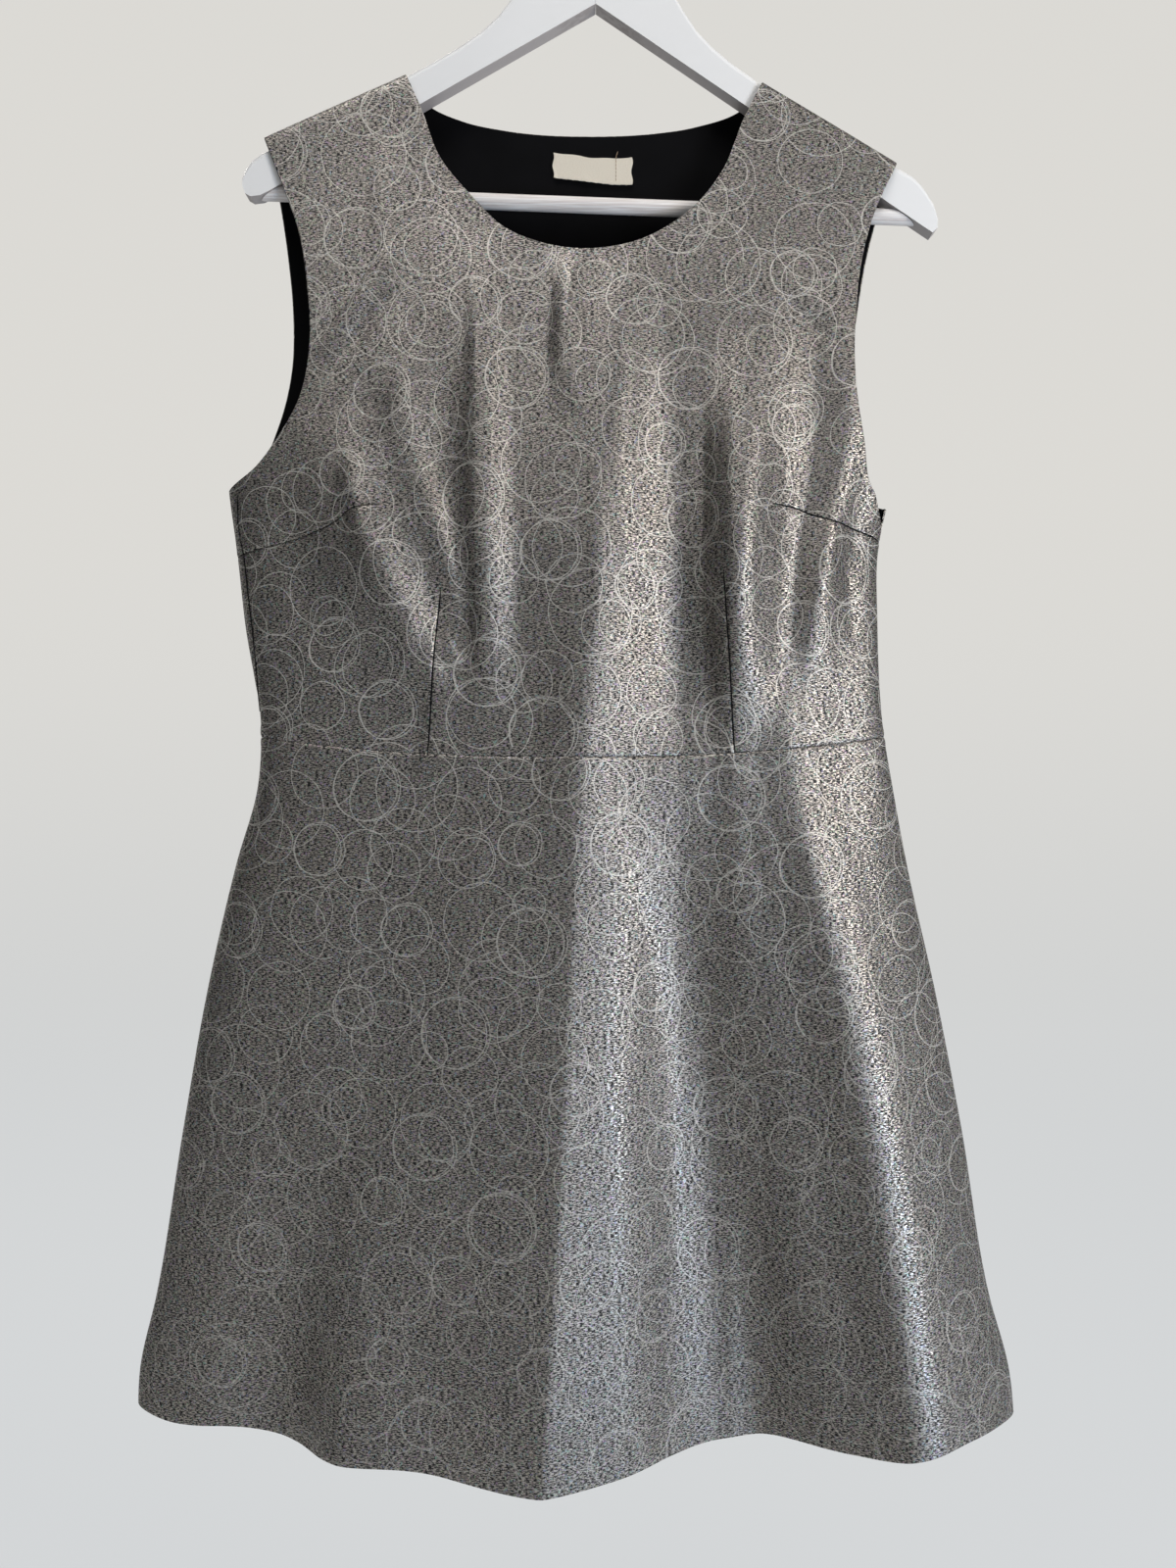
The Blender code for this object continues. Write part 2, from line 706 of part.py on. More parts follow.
def make_ferrule(finish):
    """A turned collar on top of the wood, with the hook's stem standing in its hole."""
    profile = (
        (FERRULE_HOLE, FERRULE_BOTTOM),
        (FERRULE_RADIUS, FERRULE_BOTTOM),
        (FERRULE_RADIUS, FERRULE_TOP - 1),
        (FERRULE_RADIUS - 1, FERRULE_TOP),
        (FERRULE_HOLE, FERRULE_TOP),
    )
    points = []
    faces = []
    for i in range(FERRULE_SIDES):
        angle = 2 * math.pi * i / FERRULE_SIDES
        points += [(r * math.cos(angle), r * math.sin(angle), z) for r, z in profile]
    count = len(profile)
    for i in range(FERRULE_SIDES):
        near = i * count
        far = (i + 1) % FERRULE_SIDES * count
        for k in range(count):
            after = (k + 1) % count
            faces.append((near + k, far + k, far + after, near + after))
    return add_object("hanger_ferrule", np.array(points) * MM, faces, finish)


def make_hanger(wood, bar_wood, metal):
    """The arms, bar and collar hang tilted, and the hook leans from its top to the collar's middle."""
    tilt = Matrix.Translation((HANGER_SHIFT * MM, 0, 0)) @ Matrix.Rotation(HANGER_TILT, 4, "Y")
    for piece in (
        make_arm("left", wood),
        make_arm("right", wood),
        make_bar(bar_wood),
        make_ferrule(metal),
    ):
        piece.matrix_world = tilt
    collar = tilt @ Vector((0, 0, HOOK_STEM_END * MM))
    make_hook(metal).matrix_world = Matrix.Rotation(math.atan2(collar.x, collar.z) + math.pi, 4, "Y")


# ---- Finishes and assembly -------------------------------------------------------------------------


def make_finish(name, colour, roughness, metallic=0.0):
    finish = bpy.data.materials.new(name)
    finish.use_nodes = True
    shader = finish.node_tree.nodes["Principled BSDF"]
    shader.inputs["Base Color"].default_value = (*colour, 1)
    shader.inputs["Roughness"].default_value = roughness
    shader.inputs["Metallic"].default_value = metallic
    return finish


def clear_scene():
    for obj in list(bpy.data.objects):
        bpy.data.objects.remove(obj, do_unlink=True)


def make_dress():
    front_grid = bodice_grid(-1, FRONT_BODICE_ROWS, FRONT_NECK_COLUMNS)
    back_grid = bodice_grid(1, BACK_BODICE_ROWS, BACK_NECK_COLUMNS)
    skirt_front = skirt_grid(-1, SKIRT_FRONT_COLUMNS, SKIRT_FRONT_ROWS)
    skirt_back = skirt_grid(1, SKIRT_BACK_COLUMNS, SKIRT_BACK_ROWS)
    for name, side, grid in (
        ("bodice_front", -1, front_grid),
        ("bodice_back", 1, back_grid),
        ("skirt_front", -1, skirt_front),
        ("skirt_back", 1, skirt_back),
    ):
        lurex = make_finish(name + " lurex", (0.16, 0.155, 0.15), 0.42, 0.7)
        add_wall(name, side, grid, 0.0, CLOTH_WALL, lurex)
    make_lining(back_grid, make_finish("lining satin", (0.004, 0.004, 0.005), 0.6))
    make_label(make_finish("label tape", (0.72, 0.68, 0.58), 0.8))
    make_zip(make_finish("zip tape", (0.03, 0.03, 0.03), 0.7))


def main():
    clear_scene()
    make_dress()
    make_hanger(
        make_finish("painted wood", (0.8, 0.81, 0.82), 0.4),
        make_finish("painted bar", (0.72, 0.68, 0.67), 0.5),
        make_finish("plated steel", (0.62, 0.62, 0.6), 0.25, 1.0),
    )


main()
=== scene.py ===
# %% [markdown]
# # A fit and flare dress on a wooden hanger
#
# The real object is a sleeveless dress of black and silver lurex jacquard. A fitted bodice with
# bust and waist darts is sewn to a flared skirt, and the dress hangs from a flat white hanger.
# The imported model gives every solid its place. Here each cloth panel becomes a fine shell on the
# form of its solid, with its seams, darts, creases and weave, and the hanger gets its painted
# wood and plated steel.

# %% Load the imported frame
import math

import bpy
import numpy as np
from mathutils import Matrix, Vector


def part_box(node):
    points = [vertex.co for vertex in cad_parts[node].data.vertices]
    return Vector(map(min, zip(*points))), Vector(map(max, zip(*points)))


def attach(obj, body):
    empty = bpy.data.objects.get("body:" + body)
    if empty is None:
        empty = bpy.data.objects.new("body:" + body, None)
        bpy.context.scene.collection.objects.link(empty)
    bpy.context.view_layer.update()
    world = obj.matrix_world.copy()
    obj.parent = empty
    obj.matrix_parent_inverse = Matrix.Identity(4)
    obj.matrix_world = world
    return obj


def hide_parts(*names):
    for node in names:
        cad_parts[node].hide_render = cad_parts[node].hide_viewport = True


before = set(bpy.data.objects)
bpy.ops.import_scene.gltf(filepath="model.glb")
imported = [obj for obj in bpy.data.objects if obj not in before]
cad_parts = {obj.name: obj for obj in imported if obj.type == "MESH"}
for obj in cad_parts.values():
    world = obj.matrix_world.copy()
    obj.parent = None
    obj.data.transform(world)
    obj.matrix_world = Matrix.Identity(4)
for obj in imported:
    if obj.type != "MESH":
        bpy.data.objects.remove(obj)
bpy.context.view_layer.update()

# %% [markdown]
# ## Units and colours
#
# The tables are in millimetres, because that is how a maker reads them, and Blender works in
# metres. Colours are written as sRGB hex values, as they are read off a screen, and shaders want
# linear light, so one function turns one into the other.

# %% Units and colours
MM = 0.001


def linear(code):
    """A shader's colour for an sRGB hex value."""
    parts = [int(code[i:i + 2], 16) / 255 for i in (1, 3, 5)]
    return (*[p / 12.92 if p <= 0.04045 else ((p + 0.055) / 1.055) ** 2.4 for p in parts], 1.0)


print("mid grey is", [round(x, 3) for x in linear("#808080")])

# %% [markdown]
# ## Camera
#
# The dress is seen from straight in front, from about arm's length, a little to the left of the
# hook and level with the waist seam. A level camera keeps the vertical seams vertical. The focal
# length is worked out from how many pixels a metre takes at the hook's distance.

# %% Camera
FOCAL_PIXELS = 1355.7
FRAME_HEIGHT = 1600  # pixels
SENSOR_WIDTH = 36.0
CAMERA_AT = (-7.5, -850.0, -595.0)


def make_camera():
    data = bpy.data.cameras.new("level camera")
    data.sensor_width = SENSOR_WIDTH
    data.lens = data.sensor_width * FOCAL_PIXELS / FRAME_HEIGHT
    data.clip_start = 0.01
    camera = bpy.data.objects.new("level camera", data)
    camera.location = Vector(CAMERA_AT) * MM
    camera.rotation_euler = (math.pi / 2, 0, 0)
    bpy.context.scene.collection.objects.link(camera)
    bpy.context.scene.camera = camera
    return camera


print("lens", round(make_camera().data.lens, 2), "mm")

# %% [markdown]
# ## The hanging tube of cloth
#
# On the hanger the dress is a flattened tube. A short table gives, at each height, where its
# sides lie and how far its front and back belly out, and a second one the large folds. These are
# the sizes that the solids were made from. A smooth curve through the stations gives every height
# between them.

# %% Sizes of the hanging dress
CLOTH_WALL = 1.2
LINING_WALL = 1.0
SEAM_GAP = 0.3
FRONT_THICKNESS = 8.0  # at the side, where belly and folds have run out
BACK_THICKNESS = 9.0
SIDE_POWER = 20  # how squarely the cloth turns at the side
BELLY_POWER = 2.2
BELLY_EASE = 0.8
SHOULDER_POWER = 2.4  # how roundly it turns over the shoulder

SHOULDER_LEFT = ((-213.5, -182.7), (-124.0, -142.9))  # its outer end and its inner end
SHOULDER_RIGHT = ((189.0, -199.0), (104.0, -148.0))
WAIST_SIDE = -565.0
FRONT_WAIST_DIP = 13.5  # the waist seam sags in the middle
BACK_WAIST_DIP = 4.0
WAIST_DIP_POWER = 2.3

HEM_COLUMNS = ("share", "height")  # the share runs from -1 at the left side to 1 at the right
FRONT_HEM = (
    (-1, -990), (-0.92, -994.5), (-0.78, -995), (-0.6, -1004), (-0.4, -1006), (-0.07, -1017),
    (0.2, -1010.5), (0.5, -1003), (0.65, -1001.5), (0.82, -993.5), (1, -995),
)
BACK_HEM = ((-1, -990), (-0.5, -999), (0, -1004), (0.5, -1001), (1, -995))

UNDERARM_LEFT = -408.0
UNDERARM_RIGHT_FRONT = -413.0
UNDERARM_RIGHT_BACK = -419.5
GAPE_WIDTH = 12.0  # how far the front stands back from the slit of the zip
GAPE_END = -443.0

SECTIONS_COLUMNS = ("height", "left", "right", "front_belly", "back_belly")
SECTIONS = (
    (-130, -236, 211, 0, 0),
    (-200, -236, 211, 2, 1),
    (-300, -237, 204, 14, 6),
    (-408, -237, 186, 27, 11),
    (-445, -232, 178, 30, 12),
    (-490, -227, 177.5, 28, 12),
    (-566, -216.5, 182, 25, 12),
    (-596, -218.5, 187, 25, 12),
    (-645, -232, 196, 27, 14),
    (-728, -251, 214.5, 29, 16),
    (-814, -266, 231, 31, 18),
    (-922, -283.5, 249, 33, 21),
    (-966, -293.5, 261, 34, 22),
    (-1025, -294.5, 266, 34, 22),
)
print("stations down the dress:", len(SECTIONS))

# %% [markdown]
# ## Folds
#
# A fold is a crest or a hollow that runs down the cloth. A simulation could drop a flat pattern
# on the hanger, but then the folds fall where they like. Here each one is placed one by one. Its
# first number is its sharpness: 0 is a soft wave and 1 is two planes that meet. Its rows say, at
# a height, where its line lies, how deep it is and how far it reaches to each side. The broad
# folds are in the solids too. The narrow ones are soft relief of a few millimetres, which only
# the fine shell can show.

# %% Broad folds of the front
FOLD_COLUMNS = ("height", "across", "depth", "reach_left", "reach_right")
FRONT_FOLDS = (
    ("centre crest", 0.85, (
        (-262, 2, 0, 45, 40),
        (-330, -1, 2.5, 50, 45),
        (-450, -5, 4, 60, 55),
        (-570, -12, 8, 100, 62),
        (-800, -23, 17, 130, 72),
        (-1025, -36, 25, 155, 78),
    )),
    ("right valley", 0.1, (
        (-590, 45, 0, 50, 45),
        (-700, 58, -9, 62, 50),
        (-860, 82, -18, 74, 52),
        (-1025, 101, -26, 84, 54),
    )),
    ("right fold", 0.1, (
        (-560, 140, 0, 50, 50),
        (-700, 164, 13, 56, 58),
        (-860, 190, 23, 64, 66),
        (-1025, 211, 31, 70, 78),
    )),
    ("left hollow", 0.0, (
        (-820, -190, 0, 50, 35),
        (-930, -198, -7, 52, 34),
        (-1025, -202, -13, 52, 32),
    )),
    ("left fold", 0.1, (
        (-780, -130, 0, 40, 60),
        (-900, -146, 6, 36, 62),
        (-1025, -157, 13, 30, 64),
    )),
    ("left bust", 0.1, (
        (-360, -152, 0, 45, 40),
        (-416, -150, 6, 50, 42),
        (-467, -136, 10, 52, 40),
        (-520, -112, 6, 48, 36),
        (-562, -88, 0, 40, 30),
    )),
    ("left inner fold", 0.0, (
        (-290, -122, 0, 30, 26),
        (-350, -122, 3.5, 32, 26),
        (-400, -119, 4.5, 32, 24),
        (-485, -92, 0, 26, 20),
    )),
    ("left long fold", 0.2, (
        (-245, -75, 0, 26, 22),
        (-300, -74, 4, 28, 24),
        (-500, -72, 5, 26, 26),
        (-590, -72, 0, 30, 26),
    )),
    ("right inner valley", 0.0, (
        (-300, 48, 0, 34, 34),
        (-440, 46, -7, 36, 34),
        (-530, 47, -6, 36, 36),
        (-590, 50, 0, 34, 34),
    )),
    ("right bust", 0.1, (
        (-250, 100, 0, 34, 34),
        (-330, 102, 4, 36, 36),
        (-435, 88, 10, 40, 42),
        (-511, 92, 7, 38, 44),
        (-600, 138, 0, 40, 40),
    )),
    ("right side fold", 0.0, (
        (-425, 142, 0, 22, 22),
        (-460, 141, 4, 22, 24),
        (-530, 140, 2.5, 22, 24),
        (-575, 140, 0, 20, 22),
    )),
)
print("broad folds of the front:", len(FRONT_FOLDS))

# %% Narrow folds of the front, in the same columns
FINE_FRONT_FOLDS = (
    ("left shoulder fold", 0.3, (
        (-185, -137, 0, 14, 24),
        (-215, -137, 1.6, 14, 24),
        (-262, -132, 1.2, 16, 24),
        (-300, -126, 0, 16, 24),
    )),
    ("left long fold's crest", 0.6, (
        (-235, -84, 0, 10, 18),
        (-290, -77, 1.6, 10, 20),
        (-420, -74, 1.8, 10, 21),
        (-500, -71, 1.8, 10, 21),
        (-560, -73, 0, 12, 24),
    )),
    ("hollow beside it", 0.2, (
        (-338, -92, 0, 14, 11),
        (-390, -90, -0.8, 15, 11),
        (-430, -87, -1.0, 15, 11),
        (-500, -83, -1.6, 13, 11),
        (-552, -84, 0, 13, 12),
    )),
    ("left upper swell", 0.2, (
        (-225, -98, 0, 20, 22),
        (-265, -100, 2.6, 18, 24),
        (-310, -107, 3.0, 18, 26),
        (-350, -117, 1.6, 18, 26),
        (-385, -122, 0, 18, 26),
    )),
    ("left inner crest", 0.6, (
        (-330, -122, 0, 18, 14),
        (-372, -119, 1.6, 18, 12),
        (-397, -112, 2.4, 18, 9),
        (-424, -102, 2.8, 16, 8),
        (-455, -94, 2.6, 14, 8),
        (-492, -89, 1.6, 12, 8),
        (-530, -89, 0, 12, 9),
    )),
    ("left bust crest", 0.5, (
        (-385, -152, 0, 16, 20),
        (-409, -150.5, 3.0, 15, 22),
        (-439, -144.5, 3.6, 15, 24),
        (-475, -131, 3.2, 16, 24),
        (-511, -114, 2.0, 16, 22),
        (-550, -104, 0, 14, 24),
    )),
    ("neck fold", 0.4, (
        (-258, -18, 0, 14, 10),
        (-285, -20, 4.0, 14, 11),
        (-335, -20.5, 3.6, 14, 12),
        (-372, -18, 0, 14, 12),
    )),
    ("middle crest", 0.3, (
        (-262, -9, 0, 40, 60),
        (-320, -9, 2.4, 43, 64),
        (-440, -8, 3.0, 44, 60),
        (-540, -10, 2.0, 44, 50),
        (-600, -12, 0, 44, 40),
    )),
    ("swell beside the right armhole", 0.1, (
        (-280, 174, 0, 40, 20),
        (-330, 171, 3.4, 34, 26),
        (-385, 171, 4.2, 30, 26),
        (-440, 176, 0, 34, 20),
    )),
    ("upper middle fold", 0.3, (
        (-252, 15, 0, 22, 26),
        (-300, 14, 2.0, 22, 28),
        (-360, 12, 1.8, 22, 30),
        (-430, 8, 0, 22, 30),
    )),
    ("middle crease", 0.6, (
        (-365, -3, 0, 9, 13),
        (-420, -2.5, 1.3, 9, 14),
        (-480, -2.5, 1.3, 9, 15),
        (-525, -5, 0, 12, 18),
    )),
    ("crest at the waist", 0.4, (
        (-460, -6, 0, 22, 30),
        (-520, -10, 3.4, 24, 32),
        (-578, -14, 4.4, 28, 34),
        (-660, -18, 0, 30, 40),
    )),
    ("right dart crest", 0.6, (
        (-310, 89, 0, 24, 20),
        (-370, 87, 5.6, 24, 27),
        (-430, 85, 9.0, 23, 30),
        (-480, 83, 10.0, 21, 30),
        (-530, 83, 7.4, 19, 28),
        (-574, 83, 1.6, 16, 20),
    )),
    ("right side crest", 0.6, (
        (-300, 143, 0, 16, 24),
        (-332, 149, 2.2, 18, 24),
        (-369, 153, 3.8, 21, 20),
        (-405, 150, 5.6, 22, 18),
        (-448, 141, 6.6, 20, 18),
        (-497, 131, 5.0, 16, 21),
        (-540, 128, 1.6, 14, 22),
        (-575, 128, 0, 14, 22),
    )),
    ("skirt hollow beside the crest", 0.3, (
        (-620, 42, 0, 34, 40),
        (-700, 44, -4.0, 38, 50),
        (-860, 50, -8.0, 44, 62),
        (-1025, 60, -9.0, 52, 62),
    )),
    ("right fold's inner crest", 0.4, (
        (-535, 114, 0, 46, 36),
        (-590, 118, 6.0, 48, 36),
        (-640, 127, 8.5, 54, 38),
        (-700, 140, 9.5, 64, 40),
        (-860, 166, 10.5, 76, 42),
        (-1025, 186, 10.5, 80, 44),
    )),
    ("left waist dart's lip", 0.5, (
        (-500, -101, 0, 7, 26),
        (-540, -103, 1.8, 7, 30),
        (-577, -106, 1.6, 8, 34),
        (-600, -107, 0, 12, 34),
    )),
)
print("narrow folds of the front:", len(FINE_FRONT_FOLDS))

# %% Folds of the back, which has no sharp crest
BACK_FOLDS = (
    ("left blade", 0.0, (
        (-240, -118, 0, 50, 50),
        (-380, -112, 6, 60, 55),
        (-500, -98, 4, 50, 50),
        (-575, -90, 0, 40, 40),
    )),
    ("right blade", 0.0, (
        (-240, 92, 0, 50, 50),
        (-380, 86, 6, 55, 60),
        (-500, 74, 4, 50, 50),
        (-575, 68, 0, 40, 40),
    )),
    ("left flare", 0.2, (
        (-600, -118, 0, 60, 50),
        (-760, -140, 8, 70, 62),
        (-1025, -166, 17, 82, 76),
    )),
    ("middle valley", 0.0, (
        (-600, -18, 0, 60, 60),
        (-760, -22, -5, 70, 70),
        (-1025, -28, -11, 84, 84),
    )),
    ("right flare", 0.2, (
        (-600, 78, 0, 50, 60),
        (-760, 100, 9, 62, 70),
        (-1025, 122, 18, 76, 84),
    )),
)
print("folds of the back:", len(BACK_FOLDS))

# %% [markdown]
# ## Neck and armholes
#
# The real edges are turned in and stitched to the lining, so each is one clean line. They are
# given as points (across, height) in the order that the panel's edge runs. A curve with handles
# would do as well, but points are easier to measure. The back neck lies higher than the front
# one.

# %% Outlines of the openings
NECK_FRONT = (
    (-112, -170), (-102, -197), (-81, -224), (-60, -245), (-34, -256), (-2, -259),
    (28, -252), (47, -241), (62, -228), (77, -208), (91, -174),
)
NECK_BACK = (
    (-110, -157.5), (-88, -167.5), (-60, -173.5), (-2, -177),
    (32, -175.5), (62, -171), (91, -160.5),
)
ARMHOLES = {  # for a side of the dress, and -1 for its front or 1 for its back
    ("left", -1): (
        (-217, -396), (-202, -378), (-188, -353), (-182, -320),
        (-184, -280), (-190, -245), (-202, -212),
    ),
    ("left", 1): (
        (-222, -394), (-208, -364), (-199, -327), (-198, -290), (-201, -255), (-206, -220),
    ),
    ("right", -1): (
        (170, -408), (165, -382), (160, -350), (159, -325),
        (160.6, -298), (165, -263), (173, -234),
    ),
    ("right", 1): (
        (170.5, -412.5), (164, -396), (161, -365), (162, -325),
        (166.5, -290), (172, -256), (178, -232),
    ),
}
print("points on the armholes:", sum(len(edge) for edge in ARMHOLES.values()))

# %% [markdown]
# ## Curves through the tables
#
# A pattern cutter lays a bendy ruler through a few measured points. A cubic between the stations
# does the same: it passes through each one with the slope that its neighbours give. Straight
# pieces between the stations would show as facets in a cloth as shiny as this.

# %% Curves through the tables


def curve_at(positions, values, at):
    """The value at each place of a smooth curve through the stations, level past both ends."""
    order = np.argsort(positions)
    place = np.asarray(positions, float)[order]
    value = np.asarray(values, float)[order]
    slope = np.gradient(value, place)
    at = np.clip(at, place[0], place[-1])
    i = np.clip(np.searchsorted(place, at) - 1, 0, len(place) - 2)
    span = place[i + 1] - place[i]
    u = (at - place[i]) / span
    start = (1 + 2 * u) * (1 - u) ** 2 * value[i] + u * (1 - u) ** 2 * span * slope[i]
    end = u * u * (3 - 2 * u) * value[i + 1] + u * u * (u - 1) * span * slope[i + 1]
    return start + end


def column(table, names, name):
    return [row[names.index(name)] for row in table]


def section(name, height):
    """One column of the sections table at any height."""
    heights = column(SECTIONS, SECTIONS_COLUMNS, "height")
    return curve_at(heights, column(SECTIONS, SECTIONS_COLUMNS, name), height)


def points_along(outline, shares):
    """Points at these shares of the length of a smooth curve through an outline's points."""
    points = np.array(outline, float)
    travel = np.concatenate([[0], np.cumsum(np.hypot(*np.diff(points, axis=0).T))])
    fine = np.linspace(0, travel[-1], 40 * len(points))
    across = curve_at(travel, points[:, 0], fine)
    height = curve_at(travel, points[:, 1], fine)
    length = np.concatenate([[0], np.cumsum(np.hypot(np.diff(across), np.diff(height)))])
    wanted = np.asarray(shares) * length[-1]
    return np.column_stack([np.interp(wanted, length, across), np.interp(wanted, length, height)])


print("waist from", section("left", WAIST_SIDE), "to", section("right", WAIST_SIDE), "mm")

# %% [markdown]
# ## Creases
#
# Cloth that has been worn and hung keeps soft marks: drag lines from the bust darts, short ones
# near the armholes and the waist, and a few in the skirt. They could be painted into a relief
# texture, but a crease in shiny cloth is read from how it bends the light, so each is a real
# ridge or furrow with its own height, width and line. They are added to the folds.

# %% Creases, as (height of the crease, how far it spreads to each side, its line)
FRONT_CREASES = (
    # along the bodice's middle and the right dart
    (-1.6, 6.5, ((62, -338), (64, -400), (64, -470), (67, -530), (70, -560))),
    (-0.9, 8, ((22, -296), (19, -360), (20, -430), (25, -490))),
    (0.8, 5, ((-96, -498), (-92, -512), (-84, -524))),
    (-0.8, 5, ((-104, -512), (-97, -522), (-88, -532))),
    (0.7, 7, ((112, -500), (118, -530), (116, -560))),
    (2.4, 8, ((-176, -326), (-158, -302), (-128, -256))),
    (-1.8, 8, ((-172, -344), (-150, -312), (-124, -282))),
    (0.5, 10, ((-200, -424), (-176, -410), (-146, -404))),
    (-0.5, 10, ((-202, -438), (-180, -428), (-152, -424))),
    (-1.6, 6, ((108, -284), (128, -302), (152, -323))),
    (1.2, 8, ((112, -272), (132, -288), (154, -306))),
    (0.8, 6, ((-112, -486), (-118, -508), (-120, -536))),
    (-0.9, 7, ((-200, -455), (-186, -480), (-178, -520))),
    (0.8, 8, ((-190, -500), (-176, -530), (-160, -562))),
    (-0.8, 7, ((98, -440), (99, -465), (97, -500))),
    (-1.4, 6, ((150, -452), (156, -470), (158, -505))),
    (-0.6, 8, ((-30, -275), (-34, -310), (-34, -350))),
    (-0.8, 9, ((128, -190), (134, -225), (144, -262))),
    (0.6, 6, ((30, -520), (32, -545), (30, -572))),
    (-0.6, 5, ((-40, -530), (-41, -552), (-40, -574))),
    # in the skirt
    (1.9, 5.5, ((-163, -852), (-150, -884), (-139, -912), (-137, -940))),
    (-1.4, 5, ((-156, -868), (-143, -898), (-134, -928), (-133, -952))),
    (0.8, 9, ((-70, -600), (-76, -640), (-84, -700))),
    (-0.8, 10, ((-130, -596), (-140, -650), (-152, -720))),
    (0.7, 8, ((96, -600), (104, -640), (112, -690))),
    (-0.7, 9, ((128, -592), (140, -640), (150, -690))),
    (0.8, 14, ((-210, -780), (-222, -850), (-230, -930))),
    (-0.7, 12, ((20, -620), (30, -690), (40, -780))),
)
BACK_CREASES = (
    (1.2, 10, ((-150, -300), (-120, -330), (-84, -350))),
    (-1.0, 9, ((130, -300), (100, -332), (66, -352))),
    (1.0, 9, ((-180, -450), (-150, -470), (-112, -480))),
    (-0.9, 8, ((140, -455), (112, -474), (80, -486))),
    (1.1, 10, ((-60, -520), (-20, -534), (30, -530))),
    (-1.0, 8, ((-50, -540), (-14, -552), (24, -548))),
    (1.2, 12, ((-96, -600), (-104, -660), (-116, -740))),
    (-1.1, 12, ((40, -598), (44, -660), (52, -750))),
    (1.3, 10, ((150, -640), (168, -700), (180, -790))),
    (-1.2, 13, ((-190, -700), (-206, -790), (-214, -880))),
    (1.0, 9, ((10, -800), (14, -860), (8, -930))),
)
print("creases:", len(FRONT_CREASES), "on the front,", len(BACK_CREASES), "on the back")

# %% The height of a crease
LINE_POINTS = 25  # enough for the gentle lines here
CREASE_ENDS = 0.7  # how bluntly a crease runs out at its ends


def beside(line, across, height):
    """How far each place lies from a line, less than 0 on its left, and its share along it."""
    points = points_along(line, np.linspace(0, 1, LINE_POINTS))
    nearest = np.full(across.shape, np.inf)
    signed = np.zeros(across.shape)
    along = np.zeros(across.shape)
    for i, (a, b) in enumerate(zip(points, points[1:])):
        run = b - a
        place = np.clip(((across - a[0]) * run[0] + (height - a[1]) * run[1]) / (run @ run), 0, 1)
        dx = across - a[0] - place * run[0]
        dz = height - a[1] - place * run[1]
        distance = np.hypot(dx, dz)
        closer = distance < nearest
        nearest = np.where(closer, distance, nearest)
        left = dx * run[1] - dz * run[0] < 0
        signed = np.where(closer, np.where(left, -distance, distance), signed)
        along = np.where(closer, (i + place) / (len(points) - 1), along)
    return signed, along


def creases_height(creases, across, height):
    """How far the creases raise each place."""
    across, height = np.broadcast_arrays(across, height)
    total = np.zeros(across.shape)
    for rise, reach, line in creases:
        (x0, z0), (x1, z1) = np.min(line, axis=0) - reach, np.max(line, axis=0) + reach
        near = (across > x0) & (across < x1) & (height > z0) & (height < z1)
        distance, along = beside(line, across[near], height[near])
        profile = np.cos(np.clip(np.abs(distance) / reach, 0, 1) * math.pi / 2) ** 2
        total[near] += rise * profile * np.sin(np.clip(along, 0, 1) * math.pi) ** CREASE_ENDS
    return total


middle_of_first = creases_height(FRONT_CREASES[:1], np.array([64.0]), np.array([-440.0]))
print("the first crease is", round(float(middle_of_first[0]), 2), "mm high")

# %% [markdown]
# ## The cloth's surface
#
# The outer face of the front and of the back is one formula: at a place across and a height it
# says how far the cloth stands off the plane of the side seams. Having it as a formula, and not
# as a mesh, lets every panel, the lining, the label and the stitches be cut from the same surface
# as finely as needed.

# %% The cloth's surface
CREST_ROUND = 0.025  # a crest of the skirt is crisper in the fine shell than in the solid
BODICE_ROUND = 0.3  # the bodice's folds are soft
SOFT_FROM = -640.0  # below this height the skirt's crests are crisp
SOFT_OVER = 120.0
PLANE_POWER = 1.25  # how a sharp fold's planes ease into the cloth beside it
NORMAL_STEP = 0.2
ON_SEAM = 0.01  # this close to the plane of the side seams a place is on the seam


def shoulder_line(shoulder, across):
    (x0, z0), (x1, z1) = shoulder
    return z0 + (z1 - z0) * (across - x0) / (x1 - x0)


def roof_height(across):
    """The height of the shoulder seams, carried on past the neck as a tent."""
    left = shoulder_line(SHOULDER_LEFT, across)
    return np.minimum(left, shoulder_line(SHOULDER_RIGHT, across))


def fold_rise(offset, reach_left, reach_right, sharpness, rounding):
    """From 1 on a fold's line to 0 at its reach on either side."""
    share = np.clip(np.where(offset < 0, -offset / reach_left, offset / reach_right), 0, 1)
    wave = np.cos(share * math.pi / 2) ** 2
    sloped = (np.hypot(share, rounding) - rounding) / (np.hypot(1, rounding) - rounding)
    planes = (1 - sloped) ** PLANE_POWER
    return sharpness * planes + (1 - sharpness) * wave


def folds_depth(folds, across, height):
    """How far the folds stand out, less than 0 in a hollow."""
    depth = 0.0
    soft = np.clip((height - SOFT_FROM) / SOFT_OVER, 0, 1)
    rounding = CREST_ROUND + (BODICE_ROUND - CREST_ROUND) * soft
    for _, sharpness, rows in folds:
        heights = column(rows, FOLD_COLUMNS, "height")
        at = {name: curve_at(heights, column(rows, FOLD_COLUMNS, name), height)
              for name in FOLD_COLUMNS[1:]}
        offset = across - at["across"]
        rise = fold_rise(offset, at["reach_left"], at["reach_right"], sharpness, rounding)
        depth = depth + at["depth"] * rise
    return depth


